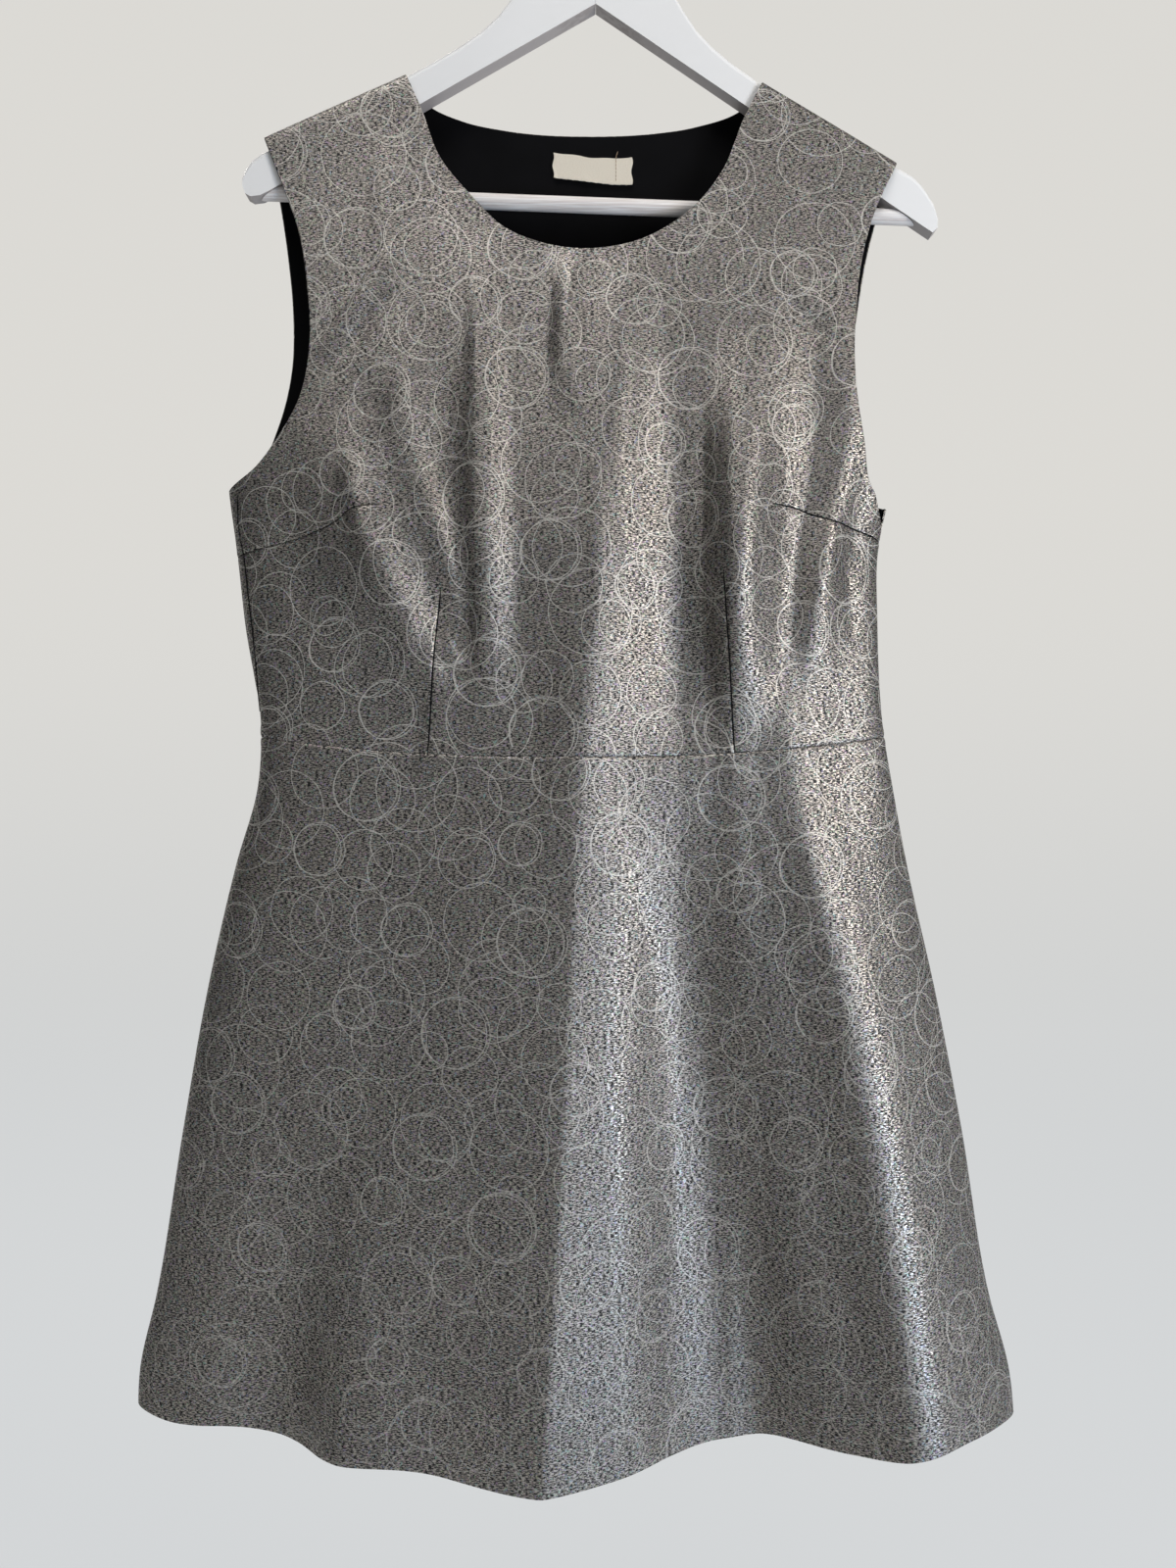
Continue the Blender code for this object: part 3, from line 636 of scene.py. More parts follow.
def depth_at(side, across, height):
    """How far the outer face of the front (side -1) or back (1) stands off the seams' plane."""
    left = section("left", height)
    right = section("right", height)
    share = np.clip(np.abs(across - (left + right) / 2) / ((right - left) / 2), 0, 1)
    thickness = FRONT_THICKNESS if side < 0 else BACK_THICKNESS
    turn = np.sqrt(1 - share**SIDE_POWER)
    fullness = section("front_belly" if side < 0 else "back_belly", height)
    belly = fullness * (1 - share**BELLY_POWER) ** BELLY_EASE
    folds = FRONT_FOLDS + FINE_FRONT_FOLDS if side < 0 else BACK_FOLDS
    creases = FRONT_CREASES if side < 0 else BACK_CREASES
    folds = folds_depth(folds, across, height) + creases_height(creases, across, height)
    below = np.clip((roof_height(across) - height) / thickness, 0, 1)
    over_shoulder = (1 - (1 - below) ** SHOULDER_POWER) ** (1 / SHOULDER_POWER)
    return over_shoulder * (turn * (thickness + folds) + belly)


def outer_points(side, across, height):
    """Points of the outer face, half a seam gap off the plane of the side seams."""
    depth = side * (SEAM_GAP / 2 + depth_at(side, across, height))
    return np.stack([across, depth, height], axis=-1)


def outward(side, across, height):
    """Unit normals of the outer face, in the seam's plane on a seam, so that both pieces agree."""
    step = NORMAL_STEP
    slope_across = depth_at(side, across + step, height) - depth_at(side, across - step, height)
    slope_up = depth_at(side, across, height + step) - depth_at(side, across, height - step)
    on_seam = depth_at(side, across, height) < ON_SEAM
    facing = np.where(on_seam, 0.0, side)
    normal = np.stack([-slope_across / (2 * step), facing, -slope_up / (2 * step)], axis=-1)
    return normal / np.linalg.norm(normal, axis=-1, keepdims=True)


print("belly at the bust", round(float(depth_at(-1, np.array(-150.0), np.array(-430.0))), 1), "mm")

# %% [markdown]
# ## Cutting a panel
#
# A panel is a patch between its four edges, filled with rows and columns. The rows and columns
# crowd together where the cloth turns sharply: at the side, over the shoulder, along a seam and
# beside a dart. A few rows and columns are bent to run exactly along the darts, so that a
# stitched line stays crisp without making the whole mesh finer.

# %% Rows and columns of a panel
UNDERARM_SHARE = 0.5  # of a bodice's rows
SHOULDER_SHARE = 0.66  # where the shoulder meets the neck, from the middle to the side
GROWTH = 0.35  # how fast the spacing opens away from a line that needs it close
SAMPLES = 4000  # places at which the spacing is added up between two stops


def graded(stops, coarse):
    """Positions from the first stop to the last, close at each stop: (position, finest spacing)."""
    found = [stops[0][0]]
    for (start, fine_start), (end, fine_end) in zip(stops, stops[1:]):
        place = np.linspace(start, end, SAMPLES)
        spacing = np.minimum(coarse, fine_start + GROWTH * (place - start))
        spacing = np.minimum(spacing, fine_end + GROWTH * (end - place))
        passed = np.diff(place) / ((spacing[1:] + spacing[:-1]) / 2)
        count = np.concatenate([[0], np.cumsum(passed)])
        steps = max(1, math.ceil(count[-1]))
        found += list(np.interp(np.linspace(0, count[-1], steps + 1)[1:], count, place))
    return np.array(found)


print("a test line of 100 mm has", len(graded(((0, 0.5), (100, 0.5)), 2.0)), "places")

# %% The edges of the panels


def waist_height(side, share):
    """The waist seam's height at a share of the width, from -1 at the left to 1 at the right."""
    dip = FRONT_WAIST_DIP if side < 0 else BACK_WAIST_DIP
    return WAIST_SIDE - dip * (1 - np.abs(share) ** WAIST_DIP_POWER)


def hem_height(side, share):
    rows = FRONT_HEM if side < 0 else BACK_HEM
    shares, heights = (column(rows, HEM_COLUMNS, name) for name in HEM_COLUMNS)
    return curve_at(shares, heights, share)


def across_at(share, height):
    left = section("left", height)
    right = section("right", height)
    return (left + right) / 2 + share * (right - left) / 2


def armhole_edge(name, side, row_shares):
    """A bodice's left or right edge from the waist up: its side seam, then its armhole."""
    left = name == "left"
    shoulder = (SHOULDER_LEFT if left else SHOULDER_RIGHT)[0]
    right_underarm = UNDERARM_RIGHT_FRONT if side < 0 else UNDERARM_RIGHT_BACK
    underarm = UNDERARM_LEFT if left else right_underarm
    seam_share = np.clip(row_shares / UNDERARM_SHARE, 0, 1)
    seam_height = WAIST_SIDE + SEAM_GAP / 2 + (underarm - WAIST_SIDE - SEAM_GAP / 2) * seam_share
    seam_across = section(name, seam_height)
    if side < 0 and not left:
        open_share = np.clip((seam_height - GAPE_END) / (underarm - GAPE_END), 0, 1)
        seam_across = seam_across - GAPE_WIDTH * open_share
    arm_shares = np.clip((row_shares - UNDERARM_SHARE) / (1 - UNDERARM_SHARE), 0, 1)
    arm = points_along(((seam_across[-1], underarm), *ARMHOLES[name, side], shoulder), arm_shares)
    on_seam = row_shares <= UNDERARM_SHARE
    return np.column_stack([
        np.where(on_seam, seam_across, arm[:, 0]),
        np.where(on_seam, seam_height, arm[:, 1]),
    ])


def top_edge(side, shares):
    """The shoulder, the neck and the other shoulder, from left to right."""
    outer_left, inner_left = map(np.array, SHOULDER_LEFT)
    outer_right, inner_right = map(np.array, SHOULDER_RIGHT)
    reach = 1 - SHOULDER_SHARE
    left = np.clip((shares + 1) / reach, 0, 1)[:, np.newaxis]
    right = np.clip((1 - shares) / reach, 0, 1)[:, np.newaxis]
    neck_shares = np.clip((shares + SHOULDER_SHARE) / (2 * SHOULDER_SHARE), 0, 1)
    neck = NECK_FRONT if side < 0 else NECK_BACK
    found = points_along((tuple(inner_left), *neck, tuple(inner_right)), neck_shares)
    found = np.where(left < 1, outer_left + (inner_left - outer_left) * left, found)
    return np.where(right < 1, outer_right + (inner_right - outer_right) * right, found)


print("hem from", float(hem_height(-1, -1)), "to", float(hem_height(-1, 1)), "mm")

# %% The patch between the edges


def bodice_grid(side, shares, rows):
    """(across, height) of a bodice panel: a patch blended between its four edges."""
    left = armhole_edge("left", side, rows)
    right = armhole_edge("right", side, rows)
    top = top_edge(side, shares)
    height = waist_height(side, shares) + SEAM_GAP / 2
    bottom = np.column_stack([across_at(shares, height), height])
    s = (shares[np.newaxis, :, np.newaxis] + 1) / 2
    t = rows[:, np.newaxis, np.newaxis]
    ruled = (1 - t) * bottom + t * top + (1 - s) * left[:, np.newaxis] + s * right[:, np.newaxis]
    low = (1 - s) * bottom[0] + s * bottom[-1]
    high = (1 - s) * top[0] + s * top[-1]
    grid = ruled - ((1 - t) * low + t * high)
    return grid[..., 0], grid[..., 1]


def skirt_grid(side, shares, rows, crest):
    """(across, height) of a skirt panel, from the hem's left end up to the waist's right end.

    The middle column follows the crest, whose shares at the waist and at the hem are given."""
    share = shares[np.newaxis, :]
    rise = rows[:, np.newaxis]
    waist_share, hem_share = crest
    share = share + (1 - np.abs(share)) * (hem_share + (waist_share - hem_share) * rise)
    waist = waist_height(side, share) - SEAM_GAP / 2
    height = hem_height(side, share) * (1 - rise) + waist * rise
    return across_at(share, height), height


test_patch = bodice_grid(-1, np.linspace(-1, 1, 5), np.linspace(0, 1, 5))
print("the bodice's middle lies at", [round(float(values[2, 2]), 1) for values in test_patch])

# %% [markdown]
# ## Darts and seams
#
# A dart is a wedge of cloth folded to the inside and stitched, so the outside shows one thin sunk
# line with a soft lip where the spare cloth lies under it. The bust darts run from the side seams
# towards the bust and the waist darts run up from the waist seam. The left side seam sits a few
# millimetres on to the front, because the dress hangs turned a little. Sunk lines could be cut
# out of a dense mesh, but here the rows and columns nearest to a dart are bent to follow it, so
# that a few faces give a crisp line.

# %% Where the stitched lines run
FRONT_LINES = {
    "left bust dart": (
        (-237, -452), (-224.5, -449.3), (-178.7, -439.6), (-162.2, -433),
        (-154.7, -427.4), (-142.5, -424.6), (-132.2, -423.5),
    ),
    "right bust dart": (
        (179, -441), (177.2, -440.3), (158.5, -435.1), (134.6, -429.1), (120, -423.8), (105, -423),
    ),
    "left waist dart": ((-97.6, -474.8), (-100, -498.9), (-103.1, -534.9), (-106.4, -576.6)),
    "right waist dart": ((74.5, -465.2), (75.8, -485.3), (79.3, -528.7), (83, -577.3)),
}
BACK_LINES = {
    "left back dart": ((-92, -452), (-95, -500), (-98, -568.4)),
    "right back dart": ((64, -452), (66, -500), (69, -568.4)),
}
LEFT_SEAM = (
    (-229.6, -406), (-229, -433.4), (-226, -449.1), (-223.5, -470.9), (-219.4, -508.1),
    (-217.2, -557.4),
)
print("stitched lines:", len(FRONT_LINES) + len(BACK_LINES) + 1)

# %% Rows and columns that follow a dart
DART_POINTS = 60
COLUMN_SPREAD = 0.18  # the share of the width over which the columns give way
ROW_SPREAD = 0.16
PAST_WAIST_DART = 60  # how far past its tip a dart still pulls the columns
PAST_BUST_DART = 45


def eased(share):
    """A soft step from 0 to 1."""
    return share**2 * (3 - 2 * share)


def bend_columns(grid, line, share, shares):
    """Moves the columns near this share sideways, so that one runs along the line."""
    across, height = grid
    points = points_along(line, np.linspace(0, 1, DART_POINTS))
    points = points[np.argsort(points[:, 1])]
    at = int(np.argmin(np.abs(shares - share)))
    wanted = np.interp(height[:, at], points[:, 1], points[:, 0])
    beyond = np.clip((height[:, at] - points[-1, 1]) / PAST_WAIST_DART, 0, 1)
    shift = (wanted - across[:, at]) * (1 - beyond) ** 2 * (1 + 2 * beyond)
    spread = eased(np.clip(1 - np.abs(shares - share) / COLUMN_SPREAD, 0, 1))
    return across + shift[:, np.newaxis] * spread[np.newaxis, :], height


def bend_rows(grid, line, row, rows):
    """Moves the rows near this one up or down, so that it runs along the line."""
    across, height = grid
    points = points_along(line, np.linspace(0, 1, DART_POINTS))
    points = points[np.argsort(points[:, 0])]
    at = int(np.argmin(np.abs(rows - row)))
    wanted = np.interp(across[at], points[:, 0], points[:, 1])
    tip = points[-1, 0] if points[0, 0] < 0 else points[0, 0]
    past = (across[at] > tip) == (tip < 0)
    beyond = np.clip(np.abs(across[at] - tip) / PAST_BUST_DART, 0, 1) * past
    shift = (wanted - height[at]) * (1 - beyond) ** 2 * (1 + 2 * beyond)
    spread = eased(np.clip(1 - np.abs(rows - row) / ROW_SPREAD, 0, 1))
    share = (across - across_at(0, height)) / (across_at(1, height) - across_at(0, height))
    height = height + shift[np.newaxis, :] * spread[:, np.newaxis]
    return across_at(share, height), height


print("darts pull columns over", 2 * COLUMN_SPREAD, "and rows over", 2 * ROW_SPREAD, "of a panel")

# %% Stitched relief
SEAM_SINK = 0.4
SEAM_WIDTH = 1.0
LIP = 0.3
LIP_REACH = (2.0, 7.0)  # on the side without and with the spare cloth
LIP_FROM = 1.2
DART_RUNS_OUT = 0.12  # of its length
PUCKER = 0.14
PUCKER_REACH = (1.5, 9.0)  # where the puckers start beside the waist seam, and how they fade
WAIST_RIDGE = (0.3, 3.0, 2.4)  # height, distance from the seam and width: the allowance under it
SEAM_ENDS = (-566, -404)  # the left side seam runs between these heights


def stitched_height(distance, along, runs_out):
    """A sunk line of stitches with a lip on its right. A dart's lip runs out towards its tip."""
    sink = -SEAM_SINK * np.exp(-((distance / SEAM_WIDTH) ** 2))
    right = distance > 0
    fade = np.exp(-np.abs(distance) / np.where(right, LIP_REACH[1], LIP_REACH[0]))
    lip = LIP * fade * np.where(right, 1.0, 0.5)
    ends = np.clip(along / DART_RUNS_OUT, 0, 1) if runs_out else 1.0
    return (sink + lip * (1 - np.exp(-((distance / LIP_FROM) ** 2)))) * ends


def waist_relief(side, across, height):
    """The sunk waist seam, its allowance and the puckers of cloth fed at two speeds."""
    middle = across_at(0, height)
    share = np.clip((across - middle) / (across_at(1, height) - middle), -1, 1)
    away = np.abs(height - waist_height(side, share))
    broad = np.sin(across / 3.1 + 2 * np.sin(across / 17))
    puckers = broad + 0.7 * np.sin(across / 1.9 + np.sin(across / 11) * 3)
    near, far = PUCKER_REACH
    total = PUCKER * puckers * np.exp(-away / far) * (1 - np.exp(-away / near))
    ridge, ridge_at, ridge_width = WAIST_RIDGE
    sink = -SEAM_SINK * np.exp(-((away / SEAM_WIDTH) ** 2))
    return total + (sink + ridge * np.exp(-(((away - ridge_at) / ridge_width) ** 2)))


def relief(side, across, height):
    """What the stitching adds to the outer face."""
    total = waist_relief(side, across, height)
    for name, line in (FRONT_LINES if side < 0 else BACK_LINES).items():
        distance, along = beside(line, across, height)
        if "bust" in name:
            distance, along = -distance, 1 - along
        total += stitched_height(distance, along, True)
    if side < 0:
        distance, along = beside(LEFT_SEAM, across, height)
        on_seam = (height > SEAM_ENDS[0]) * (height < SEAM_ENDS[1])
        total += stitched_height(-distance, along, False) * on_seam
    return total


test_dart = relief(-1, np.array([-103.1]), np.array([-534.9]))
print("a dart is sunk by", round(-float(test_dart[0]), 2), "mm")

# %% [markdown]
# ## From a grid to a shell
#
# Every cloth piece is a closed thin shell: an outer face, an inner face and a rounded turned edge
# between them. A solidify modifier would give one too, but here the edge is turned by hand, so
# that a neckline is round and a seam stays flat against its neighbour. One mesh holds both faces,
# so the lurex shows outside and the black lining inside. A UV map named cloth gives each place
# its distance over the cloth in metres, so that a weave keeps its real size and does not smear
# where the cloth turns at the side.

# %% A map of the cloth
LEVEL_STEP = 5.0
PLACE_STEP = 0.5
LEVELS = (-1030, -125)
PLACES = (-300, 271)


def cloth_map(side, across, height):
    """How far each place lies from the middle, over the cloth, and its height, in metres."""
    levels = np.arange(*LEVELS, LEVEL_STEP)
    places = np.arange(*PLACES, PLACE_STEP)
    x, z = np.meshgrid(places, levels)
    depth = depth_at(side, x, z)
    run = np.hypot(np.diff(x, axis=1), np.diff(depth, axis=1))
    travel = np.concatenate([np.zeros((len(levels), 1)), np.cumsum(run, axis=1)], axis=1)
    travel -= travel[:, [int(np.argmin(np.abs(places)))]]
    row = np.clip((height - levels[0]) / LEVEL_STEP, 0, len(levels) - 1.001)
    col = np.clip((across - places[0]) / PLACE_STEP, 0, len(places) - 1.001)
    i, j = row.astype(int), col.astype(int)
    u, v = row - i, col - j
    low = travel[i, j] * (1 - v) + travel[i, j + 1] * v
    high = travel[i + 1, j] * (1 - v) + travel[i + 1, j + 1] * v
    return np.stack([low * (1 - u) + high * u, height], axis=-1) * MM


half_hem = cloth_map(-1, np.array([250.0]), np.array([-990.0]))
print("over the front the cloth measures", round(float(half_hem[0, 0]), 3), "m to the right")

# %% From points to a mesh


def edge_ring(rows, columns):
    """Grid places round the edge, counter-clockwise, and the place just inside each."""
    ring = [(0, c, 1, c) for c in range(columns)]
    ring += [(r, columns - 1, r, columns - 2) for r in range(1, rows)]
    ring += [(rows - 1, c, rows - 2, c) for c in range(columns - 2, -1, -1)]
    ring += [(r, 0, r, 1) for r in range(rows - 2, 0, -1)]
    return np.array(ring)


def add_mesh(name, points, faces, finishes, worn=None, coordinates=None):
    """A smooth mesh object from points in metres, with a finish for each face and a cloth map."""
    mesh = bpy.data.meshes.new(name)
    mesh.from_pydata(points.tolist(), [], np.asarray(faces).tolist())
    for finish in finishes:
        mesh.materials.append(finish)
    if worn is not None:
        mesh.polygons.foreach_set("material_index", np.asarray(worn, np.int32))
    if coordinates is not None:
        corners = np.zeros(len(mesh.loops), np.int32)
        mesh.loops.foreach_get("vertex_index", corners)
        layer = mesh.uv_layers.new(name="cloth")
        layer.data.foreach_set("uv", coordinates[corners].astype(np.float32).ravel())
    mesh.shade_smooth()
    obj = bpy.data.objects.new(name, mesh)
    bpy.context.scene.collection.objects.link(obj)
    return obj


print("a 3 by 3 patch has", len(edge_ring(3, 3)), "places round its edge")

# %% From a grid to a shell
RIM_STEPS = 4  # faces round a turned edge
RIM_ON_MAP = 0.0004  # metres of cloth for each of them
SEWN_BULGE = 0.05  # an edge that is sewn to another stays flat against it
CUT_BULGE = 0.1
SHARP_ANGLE = math.radians(70)


def turned_edge(outer, inner, cloth, ring, bulge):
    """The points of a rounded edge between the two faces, and their places on the cloth."""
    edge_out, edge_in = (face[ring[:, 0], ring[:, 1]] for face in (outer, inner))
    away = edge_out - outer[ring[:, 2], ring[:, 3]]
    away /= np.linalg.norm(away, axis=-1, keepdims=True)
    middle, half = (edge_out + edge_in) / 2, (edge_out - edge_in) / 2
    points, places = [], []
    for step in range(1, RIM_STEPS):
        angle = math.pi * step / RIM_STEPS
        points.append(middle + half * math.cos(angle) + away * bulge * math.sin(angle))
        places.append(cloth[ring[:, 0], ring[:, 1]] + np.array([0.0, RIM_ON_MAP * step]))
    return points, places


def shell_faces(rows, columns, ring):
    """The faces of the outer side, of the inner side and of the turned edge between them."""
    count = rows * columns
    index = np.arange(count).reshape(rows, columns)
    corners = (index[:-1, :-1], index[:-1, 1:], index[1:, 1:], index[1:, :-1])
    quads = np.stack(corners, axis=-1).reshape(-1, 4)
    first = ring[:, 0] * columns + ring[:, 1]
    steps = [2 * count + n * len(ring) + np.arange(len(ring)) for n in range(RIM_STEPS - 1)]
    rings = [first, *steps, count + first]
    rim = [np.stack([np.roll(near, -1), near, far, np.roll(far, -1)], axis=-1)
           for near, far in zip(rings, rings[1:])]
    return quads, (quads + count)[:, ::-1], np.concatenate(rim)


def cloth_shell(name, side, grid, start, wall, finishes, raised, seam_edge=None):
    """A closed shell of cloth whose outer face lies this far inside the tube's outer face."""
    across, height = grid
    base = outer_points(side, across, height)
    normal = outward(side, across, height)
    outer = base + (raised - start)[..., np.newaxis] * normal
    inner = base - (start + wall) * normal
    ring = edge_ring(*across.shape)
    bulge = CUT_BULGE
    if seam_edge is not None:
        bulge = np.where(seam_edge(ring), SEWN_BULGE, wall / 2)[:, np.newaxis]
    cloth = cloth_map(side, across, height)
    edge_points, edge_places = turned_edge(outer, inner, cloth, ring, bulge)
    parts = shell_faces(*across.shape, ring)
    faces = np.concatenate(parts)
    if side > 0:
        faces = faces[:, ::-1]
    worn = np.repeat([0, min(1, len(finishes) - 1), 0], [len(part) for part in parts])
    points = np.concatenate([outer.reshape(-1, 3), inner.reshape(-1, 3), *edge_points]) * MM
    places = np.concatenate([cloth.reshape(-1, 2), cloth.reshape(-1, 2), *edge_places])
    obj = add_mesh(name, points, faces, finishes, worn, places)
    obj.data.set_sharp_from_angle(angle=SHARP_ANGLE)
    print(name, len(faces) * 2, "triangles")
    return obj


# %% [markdown]
# ## Finishes made of nodes
#
# A finish is a small network of nodes. One function adds a node with its settings and links, and
# a second one starts a material and puts the values that are the same all over on its shader's
# own sockets. The third one is what most woven or painted surfaces here need: a colour that
# wanders between two tones, and a fine relief.

# %% Adding a node
RGBA = {"data_type": "RGBA"}
FLAT = {"noise_dimensions": "2D"}
SMOOTH = {"interpolation_type": "SMOOTHSTEP"}


def add(tree, kind, settings=None, inputs=None):
    """Adds a node, sets its properties, and gives each input a value or a link."""
    made = tree.nodes.new(kind)
    for name, value in (settings or {}).items():
        setattr(made, name, value)
    for name, value in (inputs or {}).items():
        socket = made.inputs[name]
        if isinstance(value, bpy.types.Node):
            tree.links.new(value.outputs[0], socket)
        elif isinstance(value, bpy.types.NodeSocket):
            tree.links.new(value, socket)
        else:
            socket.default_value = value
    return made


def new_finish(name, **sockets):
    """A material whose uniform values sit on its shader's own sockets, its tree and its shader."""
    finish = bpy.data.materials.new(name)
    finish.use_nodes = True
    shader = finish.node_tree.nodes["Principled BSDF"]
    for socket, value in sockets.items():
        shader.inputs[socket.replace("_", " ")].default_value = value
    return finish, finish.node_tree, shader


def toned_and_grained(tree, shader, clouds, tones, grain, strength, metres):
    """A colour that wanders between two tones with the clouds, and a fine relief of the grain."""
    tone = add(tree, "ShaderNodeMix", RGBA, {
        0: clouds, 6: linear(tones[0]), 7: linear(tones[1])})
    bump = add(tree, "ShaderNodeBump", {}, {
        "Height": grain, "Strength": strength, "Distance": metres})
    tree.links.new(tone.outputs[2], shader.inputs["Base Color"])
    tree.links.new(bump.outputs[0], shader.inputs["Normal"])


print("helpers for finishes:", add.__name__, new_finish.__name__, toned_and_grained.__name__)

# %% [markdown]
# ## Lurex jacquard
#
# Lurex is a flat metallic yarn: a strip of aluminised film. Here it is woven as the weft through
# a black warp, so the cloth is a heather of black and silver in short dashes along the weft, with
# glints of pink, blue and amber where a strip lies at another angle. The eye reads it as metal
# that is never quite a mirror. The jacquard loom lets the film float on the surface along thin
# overlapping circles. A picture of the cloth would do, but a formula stays sharp at any distance.
# The circles are drawn from the distance to scattered middles, and eight sets with their own
# spacing and turn overlap one another.

# %% The sizes of the weave
WEFT_DASH = (2.4, 0.66)  # along and across the weft; the real strips are 0.3 mm, too fine to show
CIRCLE_LAYERS = (
    # spacing of the middles, smallest and largest radius, where the set starts, its turn
    (66.0, 11.0, 21.0, (3.1, 8.7), 0.2),
    (74.0, 10.0, 23.0, (53.3, 17.9), 0.5),
    (84.0, 20.0, 27.0, (11.7, 71.3), 2.7),
    (76.0, 14.0, 24.0, (17.3, 2.9), 1.1),
    (72.0, 12.0, 21.0, (41.7, 23.3), 2.3),
    (72.0, 12.9, 21.8, (42.9, 22.5), 2.3),  # the double line of the last one
    (98.0, 21.0, 31.0, (29.9, 61.1), 0.7),
    (84.0, 17.0, 26.0, (71.9, 13.1), 1.7),
)
CIRCLE_SCATTER = 0.6
CIRCLE_SWAY = 2.0
CIRCLE_STROKE = (0.08, 0.38)  # half the width of the full line, and where it has faded out
GLINT = 0.9  # the spread of one glint
GLINT_TILT = 0.14  # how far a strip of film may lean
HEM_LEVEL, WAIST_LEVEL = -1.0, -0.6  # in metres; between them the circles fade downwards
smallest, largest = min(row[1] for row in CIRCLE_LAYERS), max(row[2] for row in CIRCLE_LAYERS)
print("circles of", smallest, "to", largest, "mm radius")

# %% Dashes, circles and glints


def weft_dashes(tree, cloth):
    """The pattern of broken dashes along the weft."""
    dash = add(tree, "ShaderNodeVectorMath", {"operation": "DIVIDE"}, {
        0: cloth, 1: (*WEFT_DASH, 1)})
    return add(tree, "ShaderNodeTexNoise", FLAT,
               {"Vector": dash, "Scale": 1.0, "Detail": 2.0, "Roughness": 0.75})


def swayed_cloth(tree, cloth):
    """The cloth's map, a little unsteady, because a float starts and stops on whole threads."""
    sway = add(tree, "ShaderNodeTexNoise", FLAT,
               {"Vector": cloth, "Scale": 0.05, "Detail": 2.0})
    sway = add(tree, "ShaderNodeVectorMath", {"operation": "SCALE"}, {
        0: sway.outputs["Color"], "Scale": CIRCLE_SWAY})
    return add(tree, "ShaderNodeVectorMath", {"operation": "ADD"}, {0: cloth, 1: sway})


def circle_layer(tree, swayed, spacing, smallest, largest, offset, turn):
    """One set of circles: 1 on their lines and 0 off them."""
    scaled = add(tree, "ShaderNodeMapping", {"vector_type": "POINT"}, {
        "Vector": swayed, "Location": (offset[0] / spacing, offset[1] / spacing, 0),
        "Rotation": (0, 0, turn), "Scale": (1 / spacing, 1 / spacing, 1)})
    middles = add(tree, "ShaderNodeTexVoronoi", {"voronoi_dimensions": "2D"},
                  {"Vector": scaled, "Scale": 1.0, "Randomness": CIRCLE_SCATTER})
    chance = add(tree, "ShaderNodeSeparateColor", {}, {0: middles.outputs["Color"]})
    radius = add(tree, "ShaderNodeMapRange", {}, {
        0: chance, 1: 0.0, 2: 1.0, 3: smallest / spacing, 4: largest / spacing})
    off = add(tree, "ShaderNodeMath", {"operation": "SUBTRACT"}, {
        0: middles.outputs["Distance"], 1: radius})
    off = add(tree, "ShaderNodeMath", {"operation": "ABSOLUTE"}, {0: off})
    full, gone = (width / spacing for width in CIRCLE_STROKE)
    return add(tree, "ShaderNodeMapRange", {}, {0: off, 1: full, 2: gone, 3: 1.0, 4: 0.0})


def woven_circles(tree, place, cloth, dashes, strengths):
    """All the circles, broken by the dashes. They fade from the first strength to the second."""
    swayed = swayed_cloth(tree, cloth)
    circles = circle_layer(tree, swayed, *CIRCLE_LAYERS[0])
    for row in CIRCLE_LAYERS[1:]:
        line = circle_layer(tree, swayed, *row)
        circles = add(tree, "ShaderNodeMath", {"operation": "MAXIMUM"}, {0: circles, 1: line})
    broken = add(tree, "ShaderNodeMapRange", {}, {0: dashes, 1: 0.36, 2: 0.56, 3: 0.7, 4: 1.0})
    circles = add(tree, "ShaderNodeMath", {"operation": "MULTIPLY"}, {0: circles, 1: broken})
    level = add(tree, "ShaderNodeSeparateXYZ", {}, {0: place})
    high, low = strengths
    strength = add(tree, "ShaderNodeMapRange", {}, {
        0: level.outputs["Y"], 1: HEM_LEVEL, 2: WAIST_LEVEL, 3: low, 4: high})
    return add(tree, "ShaderNodeMath", {"operation": "MULTIPLY"}, {0: circles, 1: strength})


def film_glints(tree, cloth):
    """Cells of film, the tint of each, and how much of it shows: few of them catch the light."""
    spot = add(tree, "ShaderNodeVectorMath", {"operation": "SCALE"}, {0: cloth, "Scale": 1 / GLINT})
    cells = add(tree, "ShaderNodeTexVoronoi", {"voronoi_dimensions": "2D"}, {
        "Vector": spot, "Scale": 1.0})
    chances = add(tree, "ShaderNodeSeparateColor", {}, {0: cells.outputs["Color"]})
    tint = add(tree, "ShaderNodeCombineColor", {"mode": "HSV"}, {
        0: chances.outputs[1], 1: 0.35, 2: 0.45})
    lit = add(tree, "ShaderNodeMapRange", {}, {0: chances, 1: 0.82, 2: 0.95, 3: 0.0, 4: 0.7})
    return cells, tint, lit


print("a glint is", GLINT, "mm wide and leans up to", GLINT_TILT)

# %% Lurex jacquard
FILM_SHARE = (0.46, 0.60)  # between these values of the dashes the black yarn gives way to film
FILM_TONES = ("#c3bdb6", "#cdc4b9")
BLACK_YARN = "#0b0b0c"
FLOAT_TONE = "#dcd8d0"  # the film that floats along a circle is a paler silver
LUREX_SURFACE = {  # of the black yarn, of a strip of film and of a float
    "Metallic": (0.2, 0.95, 0.45),
    "Roughness": (0.6, 0.37, 0.5),
}


